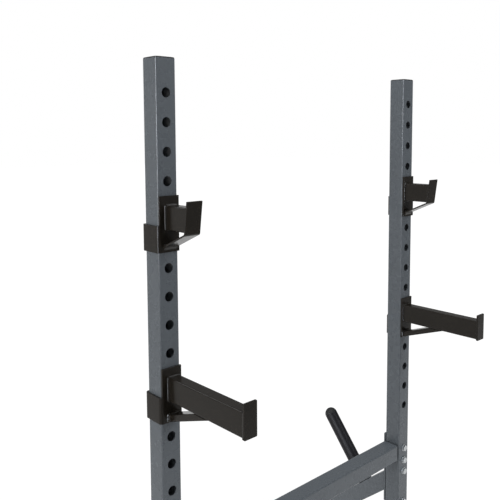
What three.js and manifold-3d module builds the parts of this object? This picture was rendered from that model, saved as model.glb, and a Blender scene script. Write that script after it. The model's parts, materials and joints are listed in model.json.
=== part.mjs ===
// Squat stand: two drilled uprights on long feet, joined by a cross member, with a pair of bar hooks
// and a pair of spotter arms that pin into the uprights' holes.
// Millimetres, +Z up, +X along the pair from left to right, -Y the front, where hooks and arms point.
// The origin is on the floor, midway between the uprights.
import * as THREE from "three";
import { mergeVertices } from "three/addons/utils/BufferGeometryUtils.js";
import Module from "manifold-3d";

const wasm = await Module();
wasm.setup();

// Frame tube and the stand as a whole
const tubeSize = 50.8;
const tubeWall = 2.5;
const tubeCorner = 4;
const uprightSpacing = 899.3;
const uprightLength = 1662.3;
const seatGap = 0.3;

// Adjustment holes, counted down from the top
const holeDiameter = 22.2;
const holePitch = 63.5;
const holeCount = 16;
const firstHoleBelowTop = 73.5;
const hookHoleIndex = 4;
const spotterHoleIndex = 10;

// Caps in the upright tops
const capThickness = 3;
const capEdgeShare = 0.4;
const capPlugDepth = 16;
const capPlugWall = 2;
const capPlugClearance = 0.4;

// Feet and their rubber boots. A foot reaches as far to the front as it does to the rear.
const footPlateToBoot = 20;
const bootWall = 5;
const bootPocketDepth = 46;
const bootCorner = 7;
const bootEdge = 1.5;
const bootGrooveWidth = 3;
const bootGrooveDepth = 1.5;
const bootGrooveCount = 5;

// Plates and bolts of the frame
const framePlate = 5;
const framePlateCorner = 4;
const basePlateBoltToUpright = 26.6;
const basePlateBoltInset = 23;
const boltDiameter = 10;
const boltHoleClearance = 0.5;
const boltHeadFlats = 17;
const boltHeadHeight = 6.4;
const nutHeight = 8;
const washerDiameter = 21;
const washerThickness = 1.8;
const boltTail = 3;

// Cross member and the tabs behind the uprights that it is bolted on with
const crossMemberHeight = 547.1;
const crossMemberEndGap = 7.5;
const tabWidth = 54;
const tabHeight = 95;
const tabTongueHeight = 36;
const tabTongueReach = 60;
const tabCorner = 2;
const tabBoltInset = 16.5;
const tabBoltSpacing = 40;

// Rear brace from the upright's back down to the foot, and the storage peg square on it
const braceSlopeDegrees = 39.6;
const bracePlateBelowTab = 8.1;
const bracePlateBoltInset = 12;
const washerToBrace = 3;
const pegDiameter = 42.4;
const pegWall = 2.5;
const pegLength = 238.3;
const pegAlongBrace = 102.6;
const pegPlugDepth = 18;
const pegPlugClearance = 0.3;

// Pinned bracket, the same on hooks and spotters
const bracketPlate = 4.8;
const bracketClearance = 0.5;
const bracketBend = 3;
const bracketAbovePin = 32.5;
const bracketBelowPin = 90.5;
const wingBelowPin = 31.5;
const rearFlangeReach = 19.5;
const pinClearance = 1.1;
const pinChamfer = 2;

// Arm tube, the same section on hooks and spotters
const armWidth = 30;
const armHeight = 53.5;
const armWall = 2.5;
const armCorner = 3;
const armAbovePin = 12;
const armOffset = 5;

// Hook lip and brace, bent from one strip
const stripWidth = 40;
const stripThickness = 4;
const stripOffset = 1.5;
const stripBend = 1.5;
const stripReach = 76.5;
const stripDrop = 1.2;
const stripAboveBracketEnd = 14;
const lipLeanDegrees = 7.8;
const lipAboveArm = 14.7;

// Spotter arm, its end plate and brace
const spotterReach = 248;
const endPlateThickness = 5;
const endPlateWidth = 34;
const endPlateOffset = 6;
const endPlateAboveArm = 17.8;
const endPlateBelowArm = 2.5;
const endPlateCorner = 2;
const spotterBraceDepth = 15.5;
const spotterBraceWall = 2;
const spotterBraceCorner = 2;
const spotterBraceSlopeDegrees = 19.3;
const spotterBraceAboveBracketEnd = 9;

// Overrun of a cutter past the face it cuts, and the distance within which vertices are one
const overrun = 2;
const mergeTolerance = 0.0005;

// Facets
const cornerSegments = 2;
const edgeSegments = 1;
const holeSegments = 16;
const roundSegments = 20;
const boltSegments = 8;
const hexSides = 6;

const degree = Math.PI / 180;
const quarterTurn = Math.PI / 2;

const finishes = {
  framePaint: new THREE.MeshStandardMaterial({ color: 0x5c6369, roughness: 0.45, metalness: 0.3 }),
  blackPaint: new THREE.MeshStandardMaterial({ color: 0x2c2b29, roughness: 0.4, metalness: 0.3 }),
  capPlastic: new THREE.MeshStandardMaterial({ color: 0x26282a, roughness: 0.6, metalness: 0 }),
  bootRubber: new THREE.MeshStandardMaterial({ color: 0x1b1c1d, roughness: 0.85, metalness: 0 }),
  zincPlate: new THREE.MeshStandardMaterial({ color: 0xa9abac, roughness: 0.35, metalness: 1 }),
  pegPaint: new THREE.MeshStandardMaterial({ color: 0x303034, roughness: 0.4, metalness: 0.2 }),
};

// Angles in radians
const braceSlope = braceSlopeDegrees * degree;
const lipLean = lipLeanDegrees * degree;
const spotterBraceSlope = spotterBraceSlopeDegrees * degree;

// Heights and half widths that follow from the sizes
const halfTube = tubeSize / 2;
const tubeInnerCorner = Math.max(tubeCorner - tubeWall, tubeWall / 2);
const footBottom = bootWall + seatGap;
const footTop = footBottom + tubeSize;
const basePlateTop = footTop + seatGap + framePlate;
const uprightBottom = basePlateTop + seatGap;
const uprightTop = uprightBottom + uprightLength;
const topHole = uprightTop - firstHoleBelowTop;
const rearPlateFace = halfTube + seatGap + framePlate;
const armBottom = armAbovePin - armHeight;
const bracketInside = halfTube + bracketClearance;
const bracketFace = bracketInside + bracketPlate;

function holeHeight(index) {
  return topHole - index * holePitch;
}

// Solids and geometry

function toSolid(geometry) {
  const bare = geometry.clone();
  bare.deleteAttribute("normal");
  bare.deleteAttribute("uv");
  const merged = mergeVertices(bare, mergeTolerance);
  return new wasm.Manifold(
    new wasm.Mesh({
      numProp: 3,
      vertProperties: merged.attributes.position.array,
      triVerts: new Uint32Array(merged.index.array),
    }),
  );
}

function toGeometry(solid) {
  const { vertProperties, triVerts } = solid.getMesh();
  const indexed = new THREE.BufferGeometry();
  indexed.setAttribute("position", new THREE.BufferAttribute(vertProperties, 3));
  indexed.setIndex(new THREE.BufferAttribute(triVerts, 1));
  const geometry = indexed.toNonIndexed();
  geometry.computeVertexNormals();
  return geometry;
}

function cut(geometry, tools) {
  return toGeometry(tools.reduce((left, tool) => left.subtract(toSolid(tool)), toSolid(geometry)));
}

function join(geometries) {
  const [first, ...rest] = geometries.map(toSolid);
  return toGeometry(rest.reduce((whole, solid) => whole.add(solid), first));
}

function mesh(name, geometry, material) {
  const piece = new THREE.Mesh(geometry, material);
  piece.name = name;
  return piece;
}

// Directions for extrusions: a section drawn in x and y is swept along its own z.
const axisX = new THREE.Vector3(1, 0, 0);
const axisY = new THREE.Vector3(0, 1, 0);
const axisZ = new THREE.Vector3(0, 0, 1);
const forward = new THREE.Matrix4().makeBasis(axisX, axisZ, axisY.clone().negate());
const sideways = new THREE.Matrix4().makeBasis(axisY, axisZ, axisX);

// Sections

function roundedRectangle(width, height, radius, Kind = THREE.Shape) {
  const x = width / 2 - radius;
  const y = height / 2 - radius;
  const outline = new Kind();
  outline.absarc(x, -y, radius, -quarterTurn, 0);
  outline.absarc(x, y, radius, 0, quarterTurn);
  outline.absarc(-x, y, radius, quarterTurn, Math.PI);
  outline.absarc(-x, -y, radius, Math.PI, Math.PI + quarterTurn);
  outline.closePath();
  return outline;
}

function tubeSection(width, height, wall, radius) {
  const section = roundedRectangle(width, height, radius);
  const innerRadius = Math.max(radius - wall, wall / 2);
  section.holes.push(
    roundedRectangle(width - 2 * wall, height - 2 * wall, innerRadius, THREE.Path),
  );
  return section;
}

// The outline of a sheet of even thickness. inside lists the corners of its inner face, in the order
// that keeps the inner side on the left; every bend has the same inner radius.
function bentSheet(inside, thickness, radius) {
  const legs = inside.slice(1).map((point, i) => point.clone().sub(inside[i]).normalize());
  const left = (way) => new THREE.Vector2(-way.y, way.x);
  const bends = legs.slice(1).map((way, i) => {
    const before = legs[i];
    const turn = Math.atan2(before.cross(way), before.dot(way));
    const start = inside[i + 1].clone().addScaledVector(before, -radius * Math.tan(turn / 2));
    const centre = start.clone().addScaledVector(left(before), radius);
    const from = start.clone().sub(centre).angle();
    return { centre, from, to: from + turn };
  });
  const outward = (point, way) => point.clone().addScaledVector(left(way), -thickness);
  const outline = new THREE.Shape();
  const firstInside = inside[0];
  const lastInside = inside[inside.length - 1];
  const firstOutside = outward(firstInside, legs[0]);
  const lastOutside = outward(lastInside, legs[legs.length - 1]);
  outline.moveTo(firstOutside.x, firstOutside.y);
  outline.lineTo(firstInside.x, firstInside.y);
  for (const { centre, from, to } of bends) {
    outline.absarc(centre.x, centre.y, radius, from, to, false);
  }
  outline.lineTo(lastInside.x, lastInside.y);
  outline.lineTo(lastOutside.x, lastOutside.y);
  for (const { centre, from, to } of bends.slice().reverse()) {
    outline.absarc(centre.x, centre.y, radius + thickness, to, from, true);
  }
  outline.closePath();
  return outline;
}

function sweep(section, length) {
  return new THREE.ExtrudeGeometry(section, {
    depth: length,
    bevelEnabled: false,
    curveSegments: cornerSegments,
  });
}

function box(width, depth, height, x, y, z) {
  return new THREE.BoxGeometry(width, depth, height).translate(x, y, z);
}

// A round cutter or shank along Y, from its middle.
function rodAlongY(diameter, length, segments, y, z) {
  return new THREE.CylinderGeometry(diameter / 2, diameter / 2, length, segments).translate(0, y, z);
}

function rodAlongZ(diameter, length, segments, x, y, z) {
  return new THREE.CylinderGeometry(diameter / 2, diameter / 2, length, segments)
    .rotateX(quarterTurn)
    .translate(x, y, z);
}

// A hexagon bolt along Z with its washer and nut. The washer's underside is at zero and the grip below it.
function boltGeometry(grip) {
  const hexRadius = boltHeadFlats / 2 / Math.cos(Math.PI / hexSides);
  const hexagon = (height, z) =>
    new THREE.CylinderGeometry(hexRadius, hexRadius, height, hexSides)
      .rotateX(quarterTurn)
      .translate(0, 0, z + height / 2);
  const headTop = washerThickness + boltHeadHeight;
  const shankLength = headTop - boltHeadHeight / 2 + grip + nutHeight + boltTail;
  const shankMiddle = headTop - boltHeadHeight / 2 - shankLength / 2;
  return join([
    rodAlongZ(boltDiameter, shankLength, boltSegments, 0, 0, shankMiddle),
    rodAlongZ(washerDiameter, washerThickness, roundSegments / 2, 0, 0, washerThickness / 2),
    hexagon(boltHeadHeight, washerThickness),
    hexagon(nutHeight, -grip - nutHeight),
  ]);
}

const boltHoleDiameter = boltDiameter + 2 * boltHoleClearance;

function boltHoleAlongY(z) {
  return rodAlongY(boltHoleDiameter, 3 * tubeSize, boltSegments, 0, z);
}

function boltHoleAlongZ(y, z, length) {
  return rodAlongZ(boltHoleDiameter, length, boltSegments, 0, y, z);
}

// The brace's top plate lies just below the tab, and the brace's centre line runs down from it to the
// foot plate. A bolt on the side that the brace leans over stands further off, by what it sticks out.
const boltToBrace = washerDiameter / 2 + washerToBrace;
const headStack = seatGap + washerThickness + boltHeadHeight;
const nutStack = seatGap + nutHeight + boltTail;
const tabBottom = crossMemberHeight - tabHeight / 2;
const lowerTabBolt = tabBottom + tabBoltInset;
const topPlateTop = tabBottom - bracePlateBelowTab;
const upperPlateBolt = topPlateTop - bracePlateBoltInset;
const braceTopHeight = upperPlateBolt - boltToBrace - halfTube / Math.cos(braceSlope);
const lowerPlateBolt =
  braceTopHeight -
  halfTube / Math.cos(braceSlope) -
  boltToBrace -
  nutStack * Math.tan(braceSlope);
const topPlateBottom = lowerPlateBolt - bracePlateBoltInset;
const braceRun = (braceTopHeight - basePlateTop) / Math.tan(braceSlope);
const braceFootY = rearPlateFace + braceRun;
const frontPlateBolt =
  braceFootY -
  halfTube / Math.sin(braceSlope) -
  boltToBrace -
  headStack / Math.tan(braceSlope);
const rearPlateBolt = braceFootY + halfTube / Math.sin(braceSlope) + boltToBrace;
const footPlateFront = frontPlateBolt - bracePlateBoltInset;
const footPlateRear = rearPlateBolt + bracePlateBoltInset;
const tabBolts = [lowerTabBolt, lowerTabBolt + tabBoltSpacing];
const topPlateBolts = [lowerPlateBolt, upperPlateBolt];
const footPlateBolts = [frontPlateBolt, rearPlateBolt];
const basePlateBolts = [-1, 1].map((way) => way * (halfTube + basePlateBoltToUpright));
const basePlateEnd = halfTube + basePlateBoltToUpright + basePlateBoltInset;
const footEnd = footPlateRear + footPlateToBoot + bootPocketDepth;
const bootEnd = footEnd + seatGap + bootWall;

// Frame pieces, drawn about the upright's centre line with x towards the stand's middle

function uprightGeometry() {
  const tube = sweep(tubeSection(tubeSize, tubeSize, tubeWall, tubeCorner), uprightLength);
  tube.translate(0, 0, uprightBottom);
  const drill = tubeSize + 2 * overrun;
  const holes = Array.from({ length: holeCount }, (_, index) =>
    rodAlongY(holeDiameter, drill, holeSegments, 0, holeHeight(index)),
  );
  const boltHoles = [...tabBolts, ...topPlateBolts].map(boltHoleAlongY);
  return cut(tube, [...holes, ...boltHoles]);
}

function uprightCapGeometry() {
  const capEdge = capThickness * capEdgeShare;
  const flange = new THREE.ExtrudeGeometry(
    roundedRectangle(tubeSize - 2 * capEdge, tubeSize - 2 * capEdge, tubeCorner - capEdge),
    {
      depth: capThickness - 2 * capEdge,
      bevelThickness: capEdge,
      bevelSize: capEdge,
      bevelSegments: edgeSegments,
      curveSegments: cornerSegments,
    },
  ).translate(0, 0, uprightTop + seatGap + capEdge);
  const plugSize = tubeSize - 2 * tubeWall - 2 * capPlugClearance;
  const plugHeight = capPlugDepth + seatGap + capThickness / 2;
  const plug = sweep(roundedRectangle(plugSize, plugSize, tubeInnerCorner), plugHeight);
  plug.translate(0, 0, uprightTop - capPlugDepth);
  const hollowSize = plugSize - 2 * capPlugWall;
  const hollow = sweep(roundedRectangle(hollowSize, hollowSize, tubeInnerCorner), capPlugDepth);
  hollow.translate(0, 0, uprightTop - capPlugDepth - overrun);
  return cut(join([flange, plug]), [hollow]);
}

function footGeometry() {
  const tube = sweep(tubeSection(tubeSize, tubeSize, tubeWall, tubeCorner), 2 * footEnd);
  tube.applyMatrix4(forward).translate(0, footEnd, footBottom + halfTube);
  const holes = [...basePlateBolts, ...footPlateBolts].map((y) =>
    boltHoleAlongZ(y, footTop, tubeSize),
  );
  return cut(tube, holes);
}

// A boot over the foot's end: five walls, round edges and a grooved sole.
function bootGeometry() {
  const outer = tubeSize + 2 * bootWall + 2 * seatGap;
  const length = bootPocketDepth + bootWall + seatGap;
  const body = new THREE.ExtrudeGeometry(
    roundedRectangle(outer - 2 * bootEdge, outer - 2 * bootEdge, bootCorner - bootEdge),
    {
      depth: length - 2 * bootEdge,
      bevelThickness: bootEdge,
      bevelSize: bootEdge,
      bevelSegments: edgeSegments,
      curveSegments: cornerSegments,
    },
  );
  const middle = footBottom + halfTube;
  body.applyMatrix4(forward).translate(0, bootEnd - bootEdge, middle);
  const pocketSize = tubeSize + 2 * seatGap;
  const pocket = sweep(
    roundedRectangle(pocketSize, pocketSize, tubeCorner),
    bootPocketDepth + overrun,
  );
  pocket.applyMatrix4(forward).translate(0, bootEnd - bootWall, middle);
  const groovePitch = length / (bootGrooveCount + 1);
  const grooves = Array.from({ length: bootGrooveCount }, (_, i) =>
    box(outer + overrun, bootGrooveWidth, 2 * bootGrooveDepth, 0, bootEnd - (i + 1) * groovePitch, 0),
  );
  return cut(body, [pocket, ...grooves]);
}

// A plate on top of the foot, from one place along y to another.
function footPlateGeometry(from, to, boltPlaces) {
  const plate = sweep(roundedRectangle(tubeSize, to - from, framePlateCorner), framePlate);
  plate.translate(0, (from + to) / 2, footTop + seatGap);
  return cut(plate, boltPlaces.map((y) => boltHoleAlongZ(y, footTop, tubeSize)));
}

function braceTopPlateGeometry() {
  const height = topPlateTop - topPlateBottom;
  const plate = sweep(roundedRectangle(tubeSize, height, framePlateCorner), framePlate);
  plate.applyMatrix4(forward).translate(0, rearPlateFace, (topPlateTop + topPlateBottom) / 2);
  return cut(plate, topPlateBolts.map(boltHoleAlongY));
}

// The brace's tube, cut off plumb against its top plate and level on its foot plate.
function rearBraceGeometry() {
  const run = Math.hypot(braceRun, braceTopHeight - basePlateTop);
  const spare = 2 * tubeSize;
  const tube = sweep(tubeSection(tubeSize, tubeSize, tubeWall, tubeCorner), run + 2 * spare);
  tube.applyMatrix4(forward).translate(0, run + spare, 0);
  tube.rotateX(-braceSlope).translate(0, rearPlateFace, braceTopHeight);
  const block = 2 * spare;
  const behind = rearPlateFace + seatGap - block / 2;
  const below = basePlateTop + seatGap - block / 2;
  return cut(tube, [
    box(block, block, 2 * block, 0, behind, braceTopHeight),
    box(block, 2 * block, block, 0, braceFootY, below),
  ]);
}

// The peg stands square on the brace's upper side; both its pieces are drawn along their own y.
function pegTubeGeometry() {
  const outer = pegDiameter / 2;
  const inner = outer - pegWall;
  const profile = [
    new THREE.Vector2(inner, 0),
    new THREE.Vector2(outer, 0),
    new THREE.Vector2(outer, pegLength),
    new THREE.Vector2(inner, pegLength),
    new THREE.Vector2(inner, 0),
  ];
  return toGeometry(toSolid(new THREE.LatheGeometry(profile, roundSegments)));
}

function pegCapGeometry() {
  const outer = pegDiameter / 2;
  const plug = outer - pegWall - pegPlugClearance;
  const base = pegLength + seatGap;
  const domeSteps = cornerSegments + 1;
  const dome = Array.from({ length: domeSteps + 1 }, (_, i) => {
    const angle = (quarterTurn * i) / domeSteps;
    const radius = i === domeSteps ? 0 : outer * Math.cos(angle);
    return new THREE.Vector2(radius, base + outer * Math.sin(angle));
  });
  const profile = [
    new THREE.Vector2(0, base - pegPlugDepth),
    new THREE.Vector2(plug, base - pegPlugDepth),
    new THREE.Vector2(plug, base),
    ...dome,
  ];
  return toGeometry(toSolid(new THREE.LatheGeometry(profile, roundSegments)));
}

function placeOnPeg(piece) {
  const start = new THREE.Vector2(rearPlateFace, braceTopHeight);
  const alongBrace = new THREE.Vector2(Math.cos(braceSlope), -Math.sin(braceSlope));
  const offBrace = new THREE.Vector2(Math.sin(braceSlope), Math.cos(braceSlope));
  const foot = start
    .addScaledVector(alongBrace, pegAlongBrace)
    .addScaledVector(offBrace, halfTube + seatGap);
  piece.position.set(0, foot.x, foot.y);
  piece.rotation.x = quarterTurn - braceSlope;
  return piece;
}

// The tab lies against the upright's back and, with its tongue, against the cross member's.
function tabGeometry() {
  const tongueWidth = tabWidth / 2 + tabTongueReach;
  const back = sweep(roundedRectangle(tabWidth, tabHeight, tabCorner), framePlate);
  const tongue = sweep(roundedRectangle(tongueWidth, tabTongueHeight, tabCorner), framePlate);
  const plate = join([back, tongue.translate(tongueWidth / 2, 0, 0)]);
  plate.applyMatrix4(forward).translate(0, rearPlateFace, crossMemberHeight);
  return cut(plate, tabBolts.map(boltHoleAlongY));
}

function crossMemberGeometry() {
  const length = uprightSpacing - 2 * (halfTube + crossMemberEndGap);
  const tube = sweep(tubeSection(tubeSize, tubeSize, tubeWall, tubeCorner), length);
  return tube.applyMatrix4(sideways).translate(-length / 2, 0, crossMemberHeight);
}

// A bolt that runs from the upright's front to the plate on its back.
function throughBolt(name, height) {
  const grip = halfTube + rearPlateFace + 2 * seatGap;
  const bolt = mesh(name, boltGeometry(grip), finishes.zincPlate);
  bolt.position.set(0, -halfTube - seatGap, height);
  bolt.rotation.x = quarterTurn;
  return bolt;
}

// A bolt that runs down through a plate and the foot's upper wall.
function footBolt(name, y, plateTop) {
  const grip = plateTop + seatGap - (footTop - tubeWall) + seatGap;
  const bolt = mesh(name, boltGeometry(grip), finishes.zincPlate);
  bolt.position.set(0, y, plateTop + seatGap);
  return bolt;
}

function sideFrame(side) {
  const { framePaint, capPlastic, bootRubber, pegPaint } = finishes;
  const frame = new THREE.Group();
  const rearBoot = bootGeometry();
  const frontBoot = rearBoot.clone().rotateZ(Math.PI);
  frame.add(
    mesh(`${side}_upright`, uprightGeometry(), framePaint),
    mesh(`${side}_upright_cap`, uprightCapGeometry(), capPlastic),
    mesh(`${side}_foot`, footGeometry(), framePaint),
    mesh(`${side}_front_boot`, frontBoot, bootRubber),
    mesh(`${side}_rear_boot`, rearBoot, bootRubber),
    mesh(
      `${side}_base_plate`,
      footPlateGeometry(-basePlateEnd, basePlateEnd, basePlateBolts),
      framePaint,
    ),
    mesh(`${side}_rear_brace`, rearBraceGeometry(), framePaint),
    mesh(`${side}_brace_top_plate`, braceTopPlateGeometry(), framePaint),
    mesh(
      `${side}_brace_foot_plate`,
      footPlateGeometry(footPlateFront, footPlateRear, footPlateBolts),
      framePaint,
    ),
    placeOnPeg(mesh(`${side}_storage_peg`, pegTubeGeometry(), pegPaint)),
    placeOnPeg(mesh(`${side}_storage_peg_cap`, pegCapGeometry(), capPlastic)),
    mesh(`${side}_tab`, tabGeometry(), framePaint),
  );
  const places = ["lower", "upper"];
  places.forEach((place, i) => {
    frame.add(
      throughBolt(`${side}_tab_${place}_bolt`, tabBolts[i]),
      throughBolt(`${side}_brace_${place}_bolt`, topPlateBolts[i]),
    );
  });
  const ends = ["front", "rear"];
  basePlateBolts.forEach((y, i) => {
    frame.add(footBolt(`${side}_base_${ends[i]}_bolt`, y, basePlateTop));
  });
  footPlateBolts.forEach((y, i) => {
    frame.add(footBolt(`${side}_brace_foot_${ends[i]}_bolt`, y, basePlateTop));
  });
  return frame;
}

// Hooks and spotters, drawn about the pin's axis, with x towards the stand's middle

// The bracket clasps the upright's front, outer side and back. Its side and back reach only from below the
// pin, so that it lifts off the upright once it has swung a quarter turn.
function bracketGeometry() {
  const section = bentSheet(
    [
      new THREE.Vector2(rearFlangeReach, bracketInside),
      new THREE.Vector2(-bracketInside, bracketInside),
      new THREE.Vector2(-bracketInside, -bracketInside),
      new THREE.Vector2(halfTube, -bracketInside),
    ],
    bracketPlate,
    bracketBend,
  );
  const height = bracketAbovePin + bracketBelowPin;
  const sheet = sweep(section, height).translate(0, 0, -bracketBelowPin);
  const block = 2 * tubeSize;
  const aboveWing = block - wingBelowPin;
  return cut(sheet, [
    box(block, block, 2 * block, 0, block / 2 - bracketInside, aboveWing),
    box(block, 2 * block, 2 * block, -halfTube - block / 2, 0, aboveWing),
  ]);
}

function pinGeometry() {
  const radius = holeDiameter / 2 - pinClearance;
  const start = -bracketInside + seatGap;
  const end = halfTube;
  const profile = [
    new THREE.Vector2(0, start),
    new THREE.Vector2(radius, start),
    new THREE.Vector2(radius, end - pinChamfer),
    new THREE.Vector2(radius - pinChamfer, end),
    new THREE.Vector2(0, end),
  ];
  return toGeometry(toSolid(new THREE.LatheGeometry(profile, roundSegments)));
}

function armGeometry(length) {
  const tube = sweep(tubeSection(armWidth, armHeight, armWall, armCorner), length);
  return tube
    .applyMatrix4(forward)
    .translate(armOffset, -bracketFace - seatGap, armBottom + armHeight / 2);
}

// The hook's arm, cut to the lean of the lip.
function hookArmGeometry() {
  const corner = -bracketFace - stripReach;
  const block = 2 * armHeight;
  const cutter = box(block, block, 2 * block, armOffset, -block / 2 + seatGap, 0);
  cutter.rotateX(lipLean).translate(0, corner, armBottom - stripDrop);
  return cut(armGeometry(stripReach + armHeight), [cutter]);
}

function hookStripGeometry() {
  const cornerY = -bracketFace - stripReach;
  const cornerZ = armBottom - stripDrop;
  const lipHeight = armAbovePin + lipAboveArm - cornerZ;
  const corner = new THREE.Vector2(cornerY, cornerZ);
  const lowerEnd = new THREE.Vector2(-bracketFace, stripAboveBracketEnd - bracketBelowPin);
  const braceWay = lowerEnd.clone().sub(corner).normalize();
  const section = bentSheet(
    [
      new THREE.Vector2(cornerY - lipHeight * Math.tan(lipLean), cornerZ + lipHeight),
      corner,
      lowerEnd.addScaledVector(braceWay, overrun),
    ],
    stripThickness,
    stripBend,
  );
  const strip = sweep(section, stripWidth);
  strip.applyMatrix4(sideways).translate(stripOffset - stripWidth / 2, 0, 0);
  const block = 2 * bracketBelowPin;
  return cut(strip, [box(block, block, block, 0, block / 2 - bracketFace - seatGap, 0)]);
}

function endPlateGeometry() {
  const height = armHeight + endPlateAboveArm + endPlateBelowArm;
  const plate = sweep(roundedRectangle(endPlateWidth, height, endPlateCorner), endPlateThickness);
  return plate
    .applyMatrix4(forward)
    .translate(
      endPlateOffset,
      -bracketFace - spotterReach,
      armBottom - endPlateBelowArm + height / 2,
    );
}

// The spotter's brace: a flat tube as wide as the arm, cut plumb against the bracket and level under the arm.
function spotterBraceGeometry() {
  const centreAtPlate = spotterBraceAboveBracketEnd - bracketBelowPin;
  const rise = armBottom - centreAtPlate;
  const spare = 2 * armWidth;
  const length = rise / Math.sin(spotterBraceSlope) + 2 * spare;
  const tube = sweep(
    tubeSection(armWidth, spotterBraceDepth, spotterBraceWall, spotterBraceCorner),
    length,
  );
  tube.applyMatrix4(forward).translate(armOffset, spare, 0);
  tube.rotateX(-spotterBraceSlope).translate(0, -bracketFace, centreAtPlate);
  const block = 2 * length;
  return cut(tube, [
    box(block, block, 2 * block, 0, block / 2 - bracketFace - seatGap, 0),
    box(block, 2 * block, block, 0, 0, armBottom - seatGap + block / 2),
  ]);
}

function pinnedBracket(name) {
  return [
    mesh(`${name}_bracket`, bracketGeometry(), finishes.blackPaint),
    mesh(`${name}_pin`, pinGeometry(), finishes.zincPlate),
  ];
}

function hook(side) {
  const name = `${side}_hook`;
  const group = new THREE.Group();
  group.position.z = holeHeight(hookHoleIndex);
  group.add(
    ...pinnedBracket(name),
    mesh(`${name}_arm`, hookArmGeometry(), finishes.blackPaint),
    mesh(`${name}_strip`, hookStripGeometry(), finishes.blackPaint),
  );
  return group;
}

function spotter(side) {
  const name = `${side}_spotter`;
  const group = new THREE.Group();
  group.position.z = holeHeight(spotterHoleIndex);
  group.add(
    ...pinnedBracket(name),
    mesh(`${name}_arm`, armGeometry(spotterReach - 2 * seatGap), finishes.blackPaint),
    mesh(`${name}_end_plate`, endPlateGeometry(), finishes.blackPaint),
    mesh(`${name}_brace`, spotterBraceGeometry(), finishes.blackPaint),
  );
  return group;
}

// One side of the stand. The right side is the left one mirrored.
function standSide(side, direction) {
  const group = new THREE.Group();
  group.position.x = (direction * uprightSpacing) / 2;
  group.scale.x = -direction;
  group.add(sideFrame(side), hook(side), spotter(side));
  return group;
}

const squatStand = new THREE.Group();
squatStand.add(
  standSide("left", -1),
  standSide("right", 1),
  mesh("cross_member", crossMemberGeometry(), finishes.framePaint),
);

export default squatStand;
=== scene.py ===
"""Dresses the squat stand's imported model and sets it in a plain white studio.

Sizes are in millimetres in the classes below and are turned into metres where a mesh is made. Each side of
the stand is drawn in its own coordinates: u runs from the upright's centre line towards the stand's middle,
y to the rear and z up.
"""

import json
import logging
import math
from dataclasses import dataclass, field
from enum import Enum
from functools import partial
from typing import Callable, Iterable, Sequence

import bmesh
import bpy
from mathutils import Matrix, Vector

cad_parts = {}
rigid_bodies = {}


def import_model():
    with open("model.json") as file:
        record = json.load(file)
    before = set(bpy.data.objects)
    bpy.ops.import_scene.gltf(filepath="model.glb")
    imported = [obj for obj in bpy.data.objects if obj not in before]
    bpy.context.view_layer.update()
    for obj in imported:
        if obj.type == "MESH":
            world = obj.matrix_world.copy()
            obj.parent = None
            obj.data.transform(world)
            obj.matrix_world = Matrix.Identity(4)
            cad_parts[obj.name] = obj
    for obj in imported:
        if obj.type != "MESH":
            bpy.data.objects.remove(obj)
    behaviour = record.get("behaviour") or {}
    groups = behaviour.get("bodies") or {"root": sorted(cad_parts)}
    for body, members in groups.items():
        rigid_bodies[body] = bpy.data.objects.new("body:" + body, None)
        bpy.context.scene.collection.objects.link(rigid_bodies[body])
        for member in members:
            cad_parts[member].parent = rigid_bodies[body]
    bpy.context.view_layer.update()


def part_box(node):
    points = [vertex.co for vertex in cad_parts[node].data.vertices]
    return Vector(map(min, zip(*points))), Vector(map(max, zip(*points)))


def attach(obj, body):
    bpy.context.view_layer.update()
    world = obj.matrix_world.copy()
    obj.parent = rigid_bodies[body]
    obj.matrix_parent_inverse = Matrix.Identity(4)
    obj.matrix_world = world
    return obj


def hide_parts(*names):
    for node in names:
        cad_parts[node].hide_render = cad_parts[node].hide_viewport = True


log = logging.getLogger("squat_stand")

MM = 0.001
UPRIGHT_SPACING = 899.3
TUBE = 50.8
TUBE_WALL = 2.5
TUBE_CORNER = 4.0
TUBE_INNER_CORNER = 1.5
SEAT_GAP = 0.3
FRAME_PLATE = 5.0
TOP_HOLE_HEIGHT = 1650.5
HOLE_PITCH = 63.5
BOLT_HOLE = 11.0
FREE = 99.0
FRAME_BODY = "frame"
PLATE_EDGE = 0.5
PLATE_CORNER_STEPS = 6
HOLE_FACETS = 48
BOLT_HOLE_FACETS = 28
BOLT_PLACES = ("lower", "upper")
BUSY_DETAIL = 4.0
BUSY_ROUGHNESS = 0.6
HALF_SECTOR = math.pi / 6

# The Mix node's inputs for numbers and for colours share their names, so they are fed by index.
MIX_NUMBER_SOCKETS = (0, 2, 3)
MIX_COLOUR_SOCKETS = (0, 6, 7)
MIX_COLOUR_RESULT = 2

Point = tuple[float, float, float]
Colour = tuple[float, float, float]
Radius = Callable[[float], float]
Builder = Callable[[bmesh.types.BMesh], None]


class Side(Enum):
    """The two sides of the stand, seen from the front."""

    LEFT = -1
    RIGHT = 1

    @property
    def label(self) -> str:
        """The side's word in node names."""
        return self.name.lower()

    def place(self, point: Sequence[float]) -> Vector:
        """Turns a side's own coordinates into the stand's.

        Args:
            point: u, y and z in millimetres.

        Returns:
            The place in the stand's frame, in metres.
        """
        u, y, z = point
        return Vector((self.value * (UPRIGHT_SPACING / 2 - u), y, z)) * MM

    def turn(self, way: Sequence[float]) -> Vector:
        """Turns a direction in the side's own coordinates into the stand's.

        Args:
            way: The direction along u, y and z.

        Returns:
            The same direction in the stand's frame, of length one.
        """
        u, y, z = way
        return Vector((-self.value * u, y, z)).normalized()


class View(Enum):
    """The way a section is drawn, and the axis along which it is drawn out."""

    PLAN = "u and y, along z"
    FRONT = "u and z, along y"
    PROFILE = "y and z, along u"

    def lift(self, point: Vector, along: float) -> Point:
        """Turns a section's point into a side's coordinates.

        Args:
            point: The point in the section.
            along: Its place on the axis.

        Returns:
            u, y and z.
        """
        if self is View.PLAN:
            return (point.x, point.y, along)
        if self is View.FRONT:
            return (point.x, along, point.y)
        return (along, point.x, point.y)


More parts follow.
